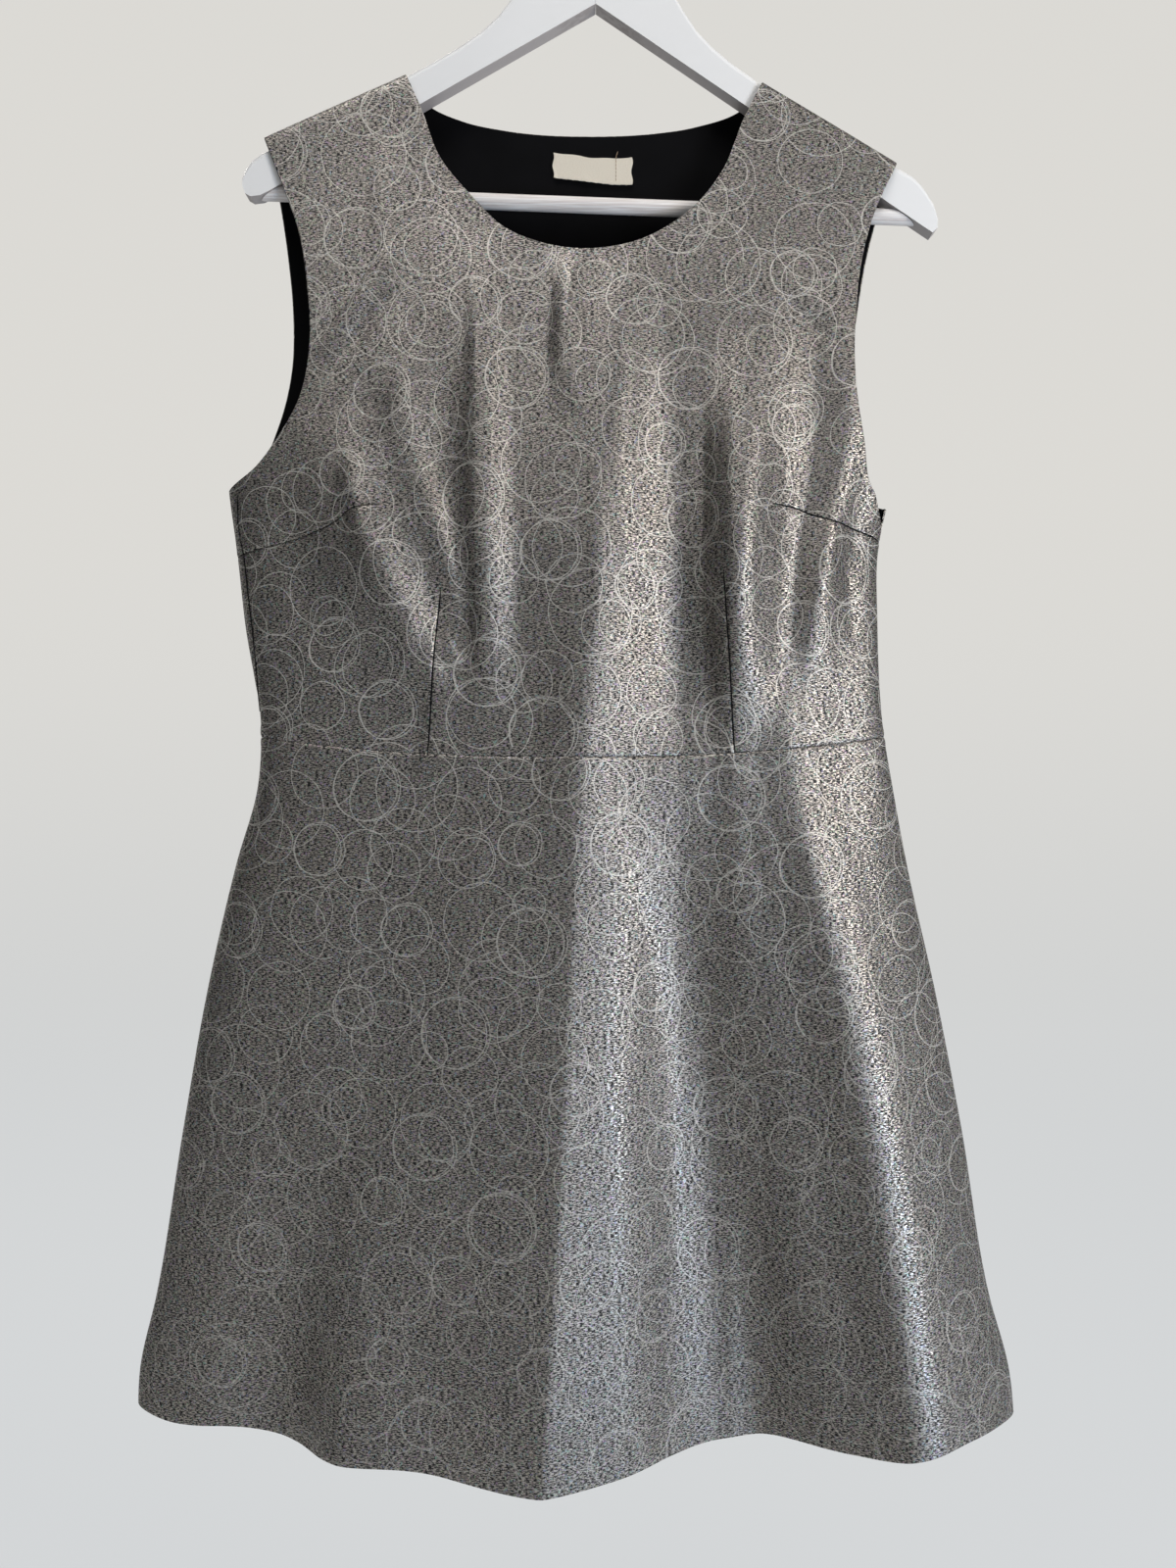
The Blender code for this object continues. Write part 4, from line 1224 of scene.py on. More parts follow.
def lurex_colour(tree, cloth, film, circles, glints):
    _, tint, lit = glints
    wide = add(tree, "ShaderNodeTexNoise", FLAT, {
        "Vector": cloth, "Scale": 0.02})
    silver = add(tree, "ShaderNodeMix", RGBA, {
        0: wide, 6: linear(FILM_TONES[0]), 7: linear(FILM_TONES[1])})
    yarn = add(tree, "ShaderNodeMix", RGBA, {
        0: film, 6: linear(BLACK_YARN), 7: silver.outputs[2]})
    yarn = add(tree, "ShaderNodeMix", RGBA, {0: lit, 6: yarn.outputs[2], 7: tint})
    yarn = add(tree, "ShaderNodeMix", RGBA, {
        0: circles, 6: yarn.outputs[2], 7: linear(FLOAT_TONE)})
    return yarn.outputs[2]


def lurex_jacquard(name, strengths, start):
    """Film is metal and smooth, the black warp is neither, and a float lies between the two."""
    finish, tree, shader = new_finish(name, Specular_IOR_Level=0.5)
    place = add(tree, "ShaderNodeUVMap", {"uv_map": "cloth"})
    cloth = add(tree, "ShaderNodeVectorMath", {"operation": "SCALE"}, {0: place, "Scale": 1 / MM})
    cloth = add(tree, "ShaderNodeVectorMath", {"operation": "ADD"}, {0: cloth, 1: (*start, 0)})
    dashes = weft_dashes(tree, cloth)
    film = add(tree, "ShaderNodeMapRange", {}, {
        0: dashes, 1: FILM_SHARE[0], 2: FILM_SHARE[1], 3: 0.0, 4: 1.0})
    circles = woven_circles(tree, place, cloth, dashes, strengths)
    glints = film_glints(tree, cloth)
    tree.links.new(lurex_colour(tree, cloth, film, circles, glints), shader.inputs["Base Color"])

    for socket, (yarn, strip, floated) in LUREX_SURFACE.items():
        value = add(tree, "ShaderNodeMapRange", {}, {0: film, 1: 0.0, 2: 1.0, 3: yarn, 4: strip})
        value = add(tree, "ShaderNodeMix", {"data_type": "FLOAT"}, {
            0: circles, 2: value, 3: floated})
        tree.links.new(value.outputs[0], shader.inputs[socket])

    raised = add(tree, "ShaderNodeMath", {"operation": "MAXIMUM"}, {0: film, 1: circles})
    bump = add(tree, "ShaderNodeBump", {}, {
        "Height": raised, "Strength": 0.35, "Distance": 0.00025})
    lean = add(tree, "ShaderNodeVectorMath", {"operation": "SUBTRACT"}, {
        0: glints[0].outputs["Color"], 1: (0.5, 0.5, 0.5)})
    lean = add(tree, "ShaderNodeVectorMath", {"operation": "SCALE"}, {0: lean, "Scale": GLINT_TILT})
    leant = add(tree, "ShaderNodeVectorMath", {"operation": "ADD"}, {0: bump, 1: lean})
    leant = add(tree, "ShaderNodeVectorMath", {"operation": "NORMALIZE"}, {0: leant})
    tree.links.new(leant.outputs[0], shader.inputs["Normal"])
    return finish


LUREX_PANELS = {  # the circles' strength high up and at the hem, and where the weave starts
    "bodice_front": ((0.97, 0.85), (11.0, 4.0)),
    "bodice_back": ((0.97, 0.85), (307.0, 91.0)),
    "skirt_front": ((0.9, 0.55), (613.0, 277.0)),
    "skirt_back": ((0.9, 0.55), (911.0, 463.0)),
}
lurex = {
    name: lurex_jacquard("lurex jacquard " + name.replace("_", " "), *row)
    for name, row in LUREX_PANELS.items()
}
print("lurex with", len(CIRCLE_LAYERS), "sets of circles")

# %% [markdown]
# ## Lining, tape and thread
#
# The lining is a plain black woven polyester: almost no colour, and a faint grain of threads half
# a millimetre apart, in tones darker than black cloth as painted shade for the dim inside of the
# dress. The label is a folded cream woven tape, left blank, matt with a little fuzz.
# The dark line in each dart and seam is a matt black thread laid as its painted shadow, and the
# tape is sewn with matt cotton thread.

# %% Lining, tape and thread
LINING_THREAD = 0.5
TAPE_THREADS = (1400, 2200, 1)  # to a metre, coarser than the real ones, which would not show


def woven_lining():
    """Black, and darker still as painted shade for the inside of the dress, so that the eye sees
    only that the dress is lined, and where the light grazes it.
    """
    finish, tree, shader = new_finish("black polyester lining", Roughness=0.72,
                                      Specular_IOR_Level=0.08)
    place = add(tree, "ShaderNodeUVMap", {"uv_map": "cloth"})
    threads = add(tree, "ShaderNodeVectorMath", {"operation": "SCALE"}, {
        0: place, "Scale": 1 / MM / LINING_THREAD})
    grain = add(tree, "ShaderNodeTexNoise", FLAT, {
        "Vector": threads, "Scale": 1.0})
    clouds = add(tree, "ShaderNodeTexNoise", FLAT, {
        "Vector": place, "Scale": 40.0})
    # painted shade: both tones are darker than black cloth itself, for the dim inside of the dress
    toned_and_grained(tree, shader, clouds, ("#030304", "#0a0a0d"), grain, 0.3, 0.0001)
    return finish


def woven_tape():
    """Cream and matt, with a grain that keeps it from looking like card."""
    finish, tree, shader = new_finish("cream woven tape", Roughness=0.78, Sheen_Weight=0.3)
    place = add(tree, "ShaderNodeUVMap", {"uv_map": "cloth"})
    threads = add(tree, "ShaderNodeVectorMath", {"operation": "MULTIPLY"}, {
        0: place, 1: TAPE_THREADS})
    grain = add(tree, "ShaderNodeTexNoise", FLAT, {
        "Vector": threads, "Scale": 1.0})
    toned_and_grained(tree, shader, grain, ("#d3c9b6", "#efe7d7"), grain, 0.5, 0.0002)
    return finish


lining = woven_lining()
tape = woven_tape()
# painted shadow: a matt black thread for the dark line in the slits of the darts and seams
seam_shadow_thread = new_finish("black thread painting the seam shadow", Base_Color=linear("#08080a"),
                          Roughness=0.8, Specular_IOR_Level=0.2)[0]
cream_thread = new_finish("cream cotton thread", Base_Color=linear("#a58f78"), Roughness=0.8)[0]
print("made", lining.name + ",", tape.name + ",", seam_shadow_thread.name, "and", cream_thread.name)

# %% [markdown]
# ## The dress
#
# The four lurex panels are cut from the surface, each closed at its edges, and take the places of
# their solids. They could be one tube, but a dress is sewn from panels, and each can then have
# its own grain. The front is the finest, because its darts and waist seam are what the eye reads
# first.

# %% Bodice
HALF_MAP = 200.0  # a panel's columns are spaced as if its half width were this many millimetres
BODICE_MAP = 380.0  # and its rows as if it were this tall
SKIRT_MAP = 430.0
BEND = 132  # from here to the side a bodice follows the shoulder and the armhole
FRONT_DARTS = (-88.5, 100.5)  # the columns that follow the waist darts, as places on that map
BACK_DARTS = (-80, 86)
BUST_DART_ROW = 0.378  # the row that follows the bust darts, as a share


def spaced_shares(stops, coarse):
    """Shares from -1 to 1 of a panel's width, from the finest spacing at both sides and stops."""
    return graded([(-HALF_MAP, stops[0]), *stops[1:-1], (HALF_MAP, stops[-1])], coarse) / HALF_MAP


def bodice_front():
    left, right = FRONT_DARTS
    stops = (0.12, (-BEND, 0.3), (left, 0.5), (right, 0.5), (BEND, 0.3), 0.12)
    shares = spaced_shares(stops, 2.3)
    stops = ((0, 0.25), (BUST_DART_ROW * BODICE_MAP, 0.5), (UNDERARM_SHARE * BODICE_MAP, 0.35),
             (BODICE_MAP, 0.12))
    rows = graded(stops, 2.1) / BODICE_MAP
    grid = bodice_grid(-1, shares, rows)
    for name in ("left", "right"):
        grid = bend_rows(grid, FRONT_LINES[name + " bust dart"], BUST_DART_ROW, rows)
    for name, at in zip(("left", "right"), FRONT_DARTS):
        grid = bend_columns(grid, FRONT_LINES[name + " waist dart"], at / HALF_MAP, shares)
    return grid


def bodice_back():
    left, right = BACK_DARTS
    stops = (0.15, (-BEND, 0.35), (left, 0.8), (right, 0.8), (BEND, 0.35), 0.15)
    shares = spaced_shares(stops, 3.4)
    stops = ((0, 0.25), (UNDERARM_SHARE * BODICE_MAP, 0.6), (BODICE_MAP, 0.12))
    rows = graded(stops, 3.2) / BODICE_MAP
    grid = bodice_grid(1, shares, rows)
    for name, at in zip(("left", "right"), BACK_DARTS):
        grid = bend_columns(grid, BACK_LINES[name + " back dart"], at / HALF_MAP, shares)
    return grid


def bodice_seams(grid):
    """Says which places of a bodice's edge are sewn to another panel."""
    rows, columns = grid[0].shape

    def sewn(ring):
        row, col = ring[:, 0], ring[:, 1]
        across, height = grid[0][row, col], grid[1][row, col]
        beside_neck = (across < SHOULDER_LEFT[1][0]) | (across > SHOULDER_RIGHT[1][0])
        on_shoulder = (row == rows - 1) & beside_neck
        on_side = ((col == 0) | (col == columns - 1)) & (height < UNDERARM_LEFT)
        return (row == 0) | on_shoulder | on_side

    return sewn


bodice = {"bodice_front": bodice_front(), "bodice_back": bodice_back()}
print("places on the bodice:", {name: grid[0].size for name, grid in bodice.items()})

# %% Skirt
CREST_SHARES = (0.026, -0.078)  # where the front's centre crest is at the waist and at the hem


def skirt_front():
    shares = spaced_shares((0.12, (0, 0.5), 0.12), 1.95)
    rows = graded(((0, 0.4), (SKIRT_MAP, 0.25)), 2.7) / SKIRT_MAP
    return skirt_grid(-1, shares, rows, CREST_SHARES)


def skirt_back():
    shares = spaced_shares((0.15, 0.15), 2.8)
    rows = graded(((0, 0.4), (SKIRT_MAP, 0.25)), 3.8) / SKIRT_MAP
    return skirt_grid(1, shares, rows, (0, 0))


def skirt_seams(grid):
    """Says which places of a skirt's edge are sewn: all but the hem."""
    columns = grid[0].shape[1]
    return lambda ring: (ring[:, 0] > 0) | (ring[:, 1] == 0) | (ring[:, 1] == columns - 1)


skirt = {"skirt_front": skirt_front(), "skirt_back": skirt_back()}
print("places on the skirt:", {name: grid[0].size for name, grid in skirt.items()})

# %% The panels in their places


def dress_panel(name, grid, seams):
    """A panel of lurex in the place of its solid."""
    side = -1 if name.endswith("front") else 1
    piece = cloth_shell(name + "_cloth", side, grid, 0.0, CLOTH_WALL, (lurex[name], lining),
                        relief(side, *grid), seams)
    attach(piece, "root")
    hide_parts(name)
    return piece


panels = {name: dress_panel(name, grid, bodice_seams(grid)) for name, grid in bodice.items()}
panels.update({name: dress_panel(name, grid, skirt_seams(grid)) for name, grid in skirt.items()})
print("panels:", len(panels))

# %% [markdown]
# ## Seam shadow lines
#
# In the slit of each dart and of the side seam the shadow shows as a thin dark line, and it
# is what the eye follows. A dark stripe in the finish would blur with distance. Here the painted
# shadow is a thin black curve with a round section, laid on the sunk line, a little uneven and
# thinner towards its ends.

# %% Seam shadow lines
# sizes of the black curve that paints the shadow in each slit
SHADOW_LINE_RADIUS = 0.5
SHADOW_LINE_PROUD = 0.05  # how far the middle of the thread stands off the sunk line
SHADOW_LINE_POINTS = 70
SHADOW_LINE_SWAY = (0.05, 2.3)  # how far it wanders, and over what length
SHADOW_LINE_END = 0.35  # its thickness at the ends, as a share
SHADOW_LINE_TAPER = 8  # points


def round_curve(name, radius, resolution):
    """An empty curve with a round section, capped at its ends."""
    curve = bpy.data.curves.new(name, "CURVE")
    curve.dimensions = "3D"
    curve.bevel_depth = radius * MM
    curve.bevel_resolution = resolution
    curve.use_fill_caps = True
    return curve


def lay(curve, points):
    """One run of the curve through points in millimetres."""
    run = curve.splines.new("POLY")
    run.points.add(len(points) - 1)
    for point, place in zip(run.points, points):
        point.co = (*(np.asarray(place) * MM), 1)
    return run


def place_curve(name, curve, finish):
    curve.materials.append(finish)
    piece = bpy.data.objects.new(name, curve)
    bpy.context.scene.collection.objects.link(piece)
    return piece


def seam_shadow_lines(name, side, lines):
    """A black curve in the slit of each dart and seam that paints its shadow, one run for each
    line.
    """
    curve = round_curve(name, SHADOW_LINE_RADIUS, 1)
    sway, length = SHADOW_LINE_SWAY
    for n, line in enumerate(lines):
        along = points_along(line, np.linspace(0, 1, SHADOW_LINE_POINTS))
        across, height = along[:, 0], along[:, 1]
        lift = relief(side, across, height) + SHADOW_LINE_PROUD - sway * np.sin(height / length + n)
        outer = outer_points(side, across, height)
        run = lay(curve, outer + lift[:, np.newaxis] * outward(side, across, height))
        for i, point in enumerate(run.points):
            end = min(i, SHADOW_LINE_POINTS - 1 - i) / SHADOW_LINE_TAPER
            point.radius = min(1.0, SHADOW_LINE_END + end) * (1 + 0.12 * math.sin(i * 1.7 + n))
    piece = place_curve(name, curve, seam_shadow_thread)
    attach(piece, "root")
    return piece


# painted shadow: black curves laid in the slits of the darts and the left side seam
seam_shadow_lines("front_sewn_lines", -1, (*FRONT_LINES.values(), LEFT_SEAM))
seam_shadow_lines("back_sewn_lines", 1, BACK_LINES.values())
print("sewn lines:", len(FRONT_LINES) + len(BACK_LINES) + 1)

# %% [markdown]
# ## Lining and label
#
# The lining lies on the back's own points, moved in by the wall and a seam gap, and ends a little
# below the neck's turned edge. The label lies on the lining in the same way. It is a tape whose
# ends are turned under, sewn down by one line of stitches, so it hangs a little crooked and curls
# between its fixed places. A flat card would look printed on.

# %% Lining piece
LINING_BELOW_SHOULDER = 6.5
LINING_ROW_STEP = 0.4
LINING_SEAM = ((-106, -166), (-60, -180), (-2, -183.5), (60, -178), (88, -169))  # under the neck
LINING_SEAM_SINK = 0.25
LINING_SEAM_WIDTH = 0.9


def make_lining():
    shares = spaced_shares((0.3, (-BEND, 0.5), (BEND, 0.5), 0.3), 4.0)
    stops = ((0, 0.6), (UNDERARM_SHARE * BODICE_MAP, 1.0), (BODICE_MAP, 0.3))
    rows = graded(stops, 4.0) / BODICE_MAP
    across, height = (values[:-1, 1:-1] for values in bodice_grid(1, shares, rows))
    rows_down = np.arange(len(height))[::-1, np.newaxis]
    below = roof_height(across) - LINING_BELOW_SHOULDER - LINING_ROW_STEP * rows_down
    height = np.minimum(height, below)
    distance, _ = beside(LINING_SEAM, across, height)
    raised = -LINING_SEAM_SINK * np.exp(-((distance / LINING_SEAM_WIDTH) ** 2))
    start = CLOTH_WALL + SEAM_GAP
    piece = cloth_shell("back_lining_cloth", 1, (across, height), start, LINING_WALL, (lining,),
                        raised)
    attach(piece, "root")
    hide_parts("bodice_back_lining")
    return piece


back_lining = make_lining()

# %% Label
LABEL_EDGES = (  # across, top and bottom: it hangs a little crooked
    (-29.8, -188.2, -204.0),
    (-20.0, -189.2, -205.0),
    (-7.5, -191.2, -206.6),
    (8.0, -191.9, -208.2),
    (20.8, -191.2, -208.4),
)
LABEL_WALL = 1.0
LABEL_START = CLOTH_WALL + LINING_WALL + 2 * SEAM_GAP  # under the outer face
LABEL_TURNED = 3.0  # the width of its turned ends
LABEL_FOLD = 0.4  # how much lower they lie
LABEL_CURL = 1.3  # how far it stands off the lining between its stitches
LABEL_CORNER = 6.0
LABEL_STITCHES = 10.4  # where the line of stitches crosses it
STITCH_SINK = 0.2


def label_curl(across, down):
    """How far the tape stands off the lining: it is held at both ends and along its stitches."""
    left, right = LABEL_EDGES[0][0], LABEL_EDGES[-1][0]
    wide = np.sin(math.pi * np.clip((across - left) / (LABEL_STITCHES - left), 0, 1)) ** 2
    past = np.clip((across - LABEL_STITCHES) / (right - LABEL_STITCHES), 0, 1)
    narrow = np.sin(math.pi * past) ** 2
    corner = np.clip(1 - (across - left) / LABEL_CORNER, 0, 1) * down
    return LABEL_CURL * (
        (0.25 + 0.75 * down) * wide + 0.5 * (1 - 0.6 * down) * narrow + 0.9 * corner)


def label_grid():
    """(across, height) of the tape and the share down it: its edges waver where it was cut."""
    edge = np.array(LABEL_EDGES)
    ends = edge[0, 0], edge[-1, 0]
    across, down = np.meshgrid(np.linspace(*ends, 100), np.linspace(1, 0, 34))
    top, bottom = (np.interp(across, edge[:, 0], edge[:, k]) for k in (1, 2))
    frayed = 0.18 * np.sin(across * 2.1) * np.sin(across * 0.83)
    height = top + (bottom - top + frayed) * down + 0.25 * np.sin(across / 3.1) * (1 - down)
    middle, half = -4.5, 25.3
    at_end = np.clip(np.abs(across - middle) / half - 0.9, 0, 1) * 10
    return across + 0.5 * np.sin(down * 9.0) * at_end, height, down


def make_label():
    across, height, down = label_grid()
    from_end = np.minimum(across - LABEL_EDGES[0][0], LABEL_EDGES[-1][0] - across)
    folded = -LABEL_FOLD * np.clip((LABEL_TURNED - from_end) / 0.5, 0, 1)
    held = STITCH_SINK * np.exp(-(((across - LABEL_STITCHES) / 0.6) ** 2))
    piece = cloth_shell("neck_label_tape", 1, (across, height), LABEL_START, LABEL_WALL, (tape,),
                        folded + held - label_curl(across, down))
    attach(piece, "root")
    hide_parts("neck_label")
    return piece


label = make_label()

# %% Label stitches
STITCH_TOP = -193.2
STITCH_LENGTH = 1.4
STITCH_PITCH = 2.3
STITCH_SLANT = 0.15
STITCHES = 6
STITCH_RADIUS = 0.22
STITCH_PROUD = 0.05
LOOSE_END = ((0.0, -193.0), (0.4, -190.0), (1.3, -187.6))  # from the line of stitches


def sew_label():
    """The line of stitches that holds the tape, and the loose end above it."""
    curve = round_curve("label stitches", STITCH_RADIUS, 2)
    runs = []
    for n in range(STITCHES):
        top = STITCH_TOP - n * STITCH_PITCH
        runs.append(((0.0, top), (STITCH_SLANT, top - STITCH_LENGTH)))
    inner = LABEL_START + LABEL_WALL + STITCH_PROUD
    for run in (*runs, LOOSE_END):
        across, height = np.array(run).T
        lay(curve, outer_points(1, across + LABEL_STITCHES, height) - (0, inner, 0))
    piece = place_curve("label_stitches", curve, cream_thread)
    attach(piece, "root")
    return piece


sew_label()
print("label stitches:", STITCHES)

# %% [markdown]
# ## Zip
#
# The zip is a concealed one, sewn inside the right side seam, so that only the top of its slit
# shows under the arm. Its teeth are one nylon coil, bent in a spiral that stands in the slit. A
# row of blocks would be easier, but a coil is what such a zip has, and a curve gives it in a few
# lines.

# %% Zip
ZIP_TOP = -449.0
ZIP_BOTTOM = -662.0
ZIP_END = 0.4  # the coil stops this short of the tape's ends
COIL_INSET = 2.4
COIL_PITCH = 1.5
COIL_RADIUS = 1.1
COIL_FLAT = 0.72  # it is narrower across the slit
COIL_WIRE = 0.35
COIL_STEPS = 8  # points to a turn


def nylon_coil():
    """Black nylon, moulded with fine ribs, which keep its shine from being a clean line."""
    finish, tree, shader = new_finish("black nylon coil", Roughness=0.7)
    place = add(tree, "ShaderNodeTexCoord")
    ribs = add(tree, "ShaderNodeTexWave", {"bands_direction": "Z"}, {
        "Vector": place.outputs["Object"], "Scale": 500.0, "Distortion": 1.0})
    toned_and_grained(tree, shader, ribs, ("#0c0c0e", "#26262a"), ribs, 0.4, 0.0002)
    return finish


def coil_points():
    steps = COIL_STEPS * int((ZIP_TOP - ZIP_BOTTOM) / COIL_PITCH)
    for i in range(steps + 1):
        height = ZIP_BOTTOM + ZIP_END + (ZIP_TOP - ZIP_BOTTOM - 2 * ZIP_END) * i / steps
        angle = 2 * math.pi * i / COIL_STEPS
        side = float(section("right", np.array(height)))
        yield (side - COIL_INSET - COIL_RADIUS + COIL_FLAT * math.cos(angle),
               COIL_RADIUS * math.sin(angle), height)


def make_zip():
    """A coil of nylon that stands in the seam."""
    curve = round_curve("zip coil", COIL_WIRE, 1)
    lay(curve, list(coil_points()))
    coil = place_curve("side_zip_coil", curve, nylon_coil())
    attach(coil, "root")
    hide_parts("side_zip")
    return coil


make_zip()
print("zip of", round(ZIP_TOP - ZIP_BOTTOM), "mm")

# %% [markdown]
# ## The hanger
#
# The arms are planed wood, mitred under the hook and painted white: an even, slightly soft white
# with the faint streaks of the brush, toned grey on the underside as painted shade, and rubbed
# to the wood beside the mitre. The bar is a round rod with thin paint over open grain, which
# shows as pinkish lines. The hook is bent from drawn steel wire and plated, so it is bright with
# fine marks. The hanger's own solids are shown, because planed wood has no finer form to add, and
# only get these finishes.

# %% Painted wood
MITRE_ABOVE_BAR = 0.085
BRUSH_STREAKS = (60, 300, 420)  # to a metre, along the arm, through it and up it
GRAIN_LINES = (25, 900, 900)  # a line of grain is about a millimetre wide and long along the rod


def shade_and_rubs_under_the_mitre(tree, place, streaks):
    """Where an arm faces down, which is toned grey as painted shade, and where it is rubbed to the
    wood beside the mitre.
    """
    mitre_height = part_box("hanger_bar")[1][2] + MITRE_ABOVE_BAR
    mitre = [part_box("hanger_arm_left")[1][0], 0.0, mitre_height]
    away = add(tree, "ShaderNodeVectorMath", {"operation": "DISTANCE"}, {
        0: place.outputs["Object"], 1: mitre})
    near = add(tree, "ShaderNodeMapRange", {}, {
        0: away.outputs["Value"], 1: 0.005, 2: 0.032, 3: 1.0, 4: 0.0})
    facing = add(tree, "ShaderNodeNewGeometry")
    facing = add(tree, "ShaderNodeSeparateXYZ", {}, {0: facing.outputs["Normal"]})
    under = add(tree, "ShaderNodeMapRange", {}, {
        0: facing.outputs["Z"], 1: -0.3, 2: -0.7, 3: 0.0, 4: 1.0})
    rubs = add(tree, "ShaderNodeTexNoise", {}, {"Vector": streaks, "Scale": 0.9, "Detail": 3.0})
    rubs = add(tree, "ShaderNodeMapRange", {}, {0: rubs, 1: 0.42, 2: 0.6, 3: 0.1, 4: 1.0})
    rubbed = add(tree, "ShaderNodeMath", {"operation": "MULTIPLY"}, {0: near, 1: under})
    rubbed = add(tree, "ShaderNodeMath", {"operation": "MULTIPLY"}, {0: rubbed, 1: rubs})
    return under, rubbed


def white_paint():
    """Brushed satin paint: white, with a soft sheen that the brush has streaked, and painted shade
    that tones the underside grey.
    """
    finish, tree, shader = new_finish("white painted wood", Coat_Weight=0.15, Coat_Roughness=0.25)
    place = add(tree, "ShaderNodeTexCoord")
    streaks = add(tree, "ShaderNodeMapping", {}, {
        "Vector": place.outputs["Object"], "Scale": BRUSH_STREAKS})
    brush = add(tree, "ShaderNodeTexNoise", {}, {"Vector": streaks, "Scale": 1.0, "Detail": 4.0})
    clouds = add(tree, "ShaderNodeTexNoise", {}, {"Vector": place.outputs["Object"], "Scale": 14.0})
    under, rubbed = shade_and_rubs_under_the_mitre(tree, place, streaks)
    tone = add(tree, "ShaderNodeMix", RGBA, {0: clouds, 6: linear("#f2f2f1"), 7: linear("#f8f8f7")})
    # painted shade: where an arm faces down, its white is toned grey
    tone = add(tree, "ShaderNodeMix", RGBA, {0: under, 6: tone.outputs[2], 7: linear("#b4adab")})
    tone = add(tree, "ShaderNodeMix", RGBA, {0: rubbed, 6: tone.outputs[2], 7: linear("#4d3026")})
    tree.links.new(tone.outputs[2], shader.inputs["Base Color"])
    rough = add(tree, "ShaderNodeMapRange", {}, {0: brush, 1: 0.3, 2: 0.7, 3: 0.32, 4: 0.46})
    tree.links.new(rough.outputs[0], shader.inputs["Roughness"])
    bump = add(tree, "ShaderNodeBump", {}, {"Height": brush, "Strength": 0.1, "Distance": 0.0002})
    tree.links.new(bump.outputs[0], shader.inputs["Normal"])
    return finish


def thin_paint():
    """One thin coat: the grain shows through it and keeps it matt."""
    finish, tree, shader = new_finish("thin white paint over grain", Roughness=0.5)
    place = add(tree, "ShaderNodeTexCoord")
    along = add(tree, "ShaderNodeMapping", {}, {
        "Vector": place.outputs["Object"], "Scale": GRAIN_LINES})
    grain = add(tree, "ShaderNodeTexNoise", {}, {"Vector": along, "Scale": 1.0, "Detail": 5.0})
    shade = add(tree, "ShaderNodeMapRange", {}, {0: grain, 1: 0.42, 2: 0.62, 3: 0.0, 4: 1.0})
    toned_and_grained(tree, shader, shade, ("#e4dcd8", "#fbf8f6"), grain, 0.12, 0.0002)
    return finish


arm_paint, bar_paint = white_paint(), thin_paint()
print("made", arm_paint.name, "and", bar_paint.name)

# %% Plated wire


def plated_steel():
    """Bright plating over drawn wire, a little cloudy, so its highlights are not quite sharp."""
    finish, tree, shader = new_finish("plated steel wire", Metallic=1.0)
    place = add(tree, "ShaderNodeTexCoord")
    drawn = add(tree, "ShaderNodeTexNoise", {}, {
        "Vector": place.outputs["Object"], "Scale": 300.0, "Detail": 3.0})
    tone = add(tree, "ShaderNodeMix", RGBA, {
        0: drawn, 6: linear("#bcbcba"), 7: linear("#d6d5d2")})
    tree.links.new(tone.outputs[2], shader.inputs["Base Color"])
    rough = add(tree, "ShaderNodeMapRange", {}, {0: drawn, 1: 0.3, 2: 0.7, 3: 0.16, 4: 0.3})
    tree.links.new(rough.outputs[0], shader.inputs["Roughness"])
    return finish


wire_plating = plated_steel()
hanger_finishes = {
    "hanger_arm_left": arm_paint, "hanger_arm_right": arm_paint, "hanger_bar": bar_paint,
    "hanger_hook": wire_plating, "hanger_ferrule": wire_plating,
}
for name, finish in hanger_finishes.items():
    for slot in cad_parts[name].material_slots:
        slot.material = finish
print("hanger finishes on", len(hanger_finishes), "pieces")

# %% [markdown]
# ## What a cutter would lay on the table
#
# None of the sheets of cloth is a rectangle, so the flat area of each is printed: what one face
# of its shell measures.

# %% Sheets of cloth


def outer_area(piece, layers=2):
    """The area of one face of a thin shell, in square metres."""
    return sum(face.area for face in piece.data.polygons) / layers


for name, piece in (*panels.items(), ("lining", back_lining), ("label", label)):
    print(name, round(outer_area(piece), 4), "m2")

# %% [markdown]
# ## Floor and backdrop
#
# A photographer hangs such a dress in front of a roll of paper that sweeps up from the floor
# without an edge. The paper here also glows, which keeps it even and pale in the picture without
# a lamp on it. The camera sees its full glow, and the cloth only about half, because film that
# mirrors a bright floor from below looks flat.

# %% Paper sweep
SWEEP_WIDTH = 6.0  # to each side, in metres like all the sizes here
SWEEP_FRONT = -6.0
SWEEP_BEND = 3.2  # where the paper leaves the floor
SWEEP_RADIUS = 1.2
SWEEP_TOP = 4.5
SWEEP_STEPS = 12
FLOOR_LEVEL = 1.35  # below the hook


def paper_sweep():
    """Matt paper with an even glow, a little cooler at the foot of the sweep."""
    finish, tree, shader = new_finish("pale paper sweep", Base_Color=linear("#5c5c5c"),
                                      Roughness=0.95)
    place = add(tree, "ShaderNodeTexCoord")
    level = add(tree, "ShaderNodeSeparateXYZ", {}, {0: place.outputs["Object"]})
    back = add(tree, "ShaderNodeMath", {"operation": "MULTIPLY_ADD"}, {
        0: level.outputs["Y"], 1: 0.35, 2: level.outputs["Z"]})
    back = add(tree, "ShaderNodeMapRange", SMOOTH, {0: back, 1: -1.5, 2: 2.3, 3: 0.0, 4: 1.0})
    glow = add(tree, "ShaderNodeMix", RGBA, {0: back, 6: linear("#d0d3d5"), 7: linear("#e0ded9")})
    tree.links.new(glow.outputs[2], shader.inputs["Emission Color"])
    seen = add(tree, "ShaderNodeLightPath")
    strength = add(tree, "ShaderNodeMapRange", {}, {
        0: seen.outputs["Is Camera Ray"], 1: 0.0, 2: 1.0, 3: 0.52, 4: 0.92})
    tree.links.new(strength.outputs[0], shader.inputs["Emission Strength"])
    return finish


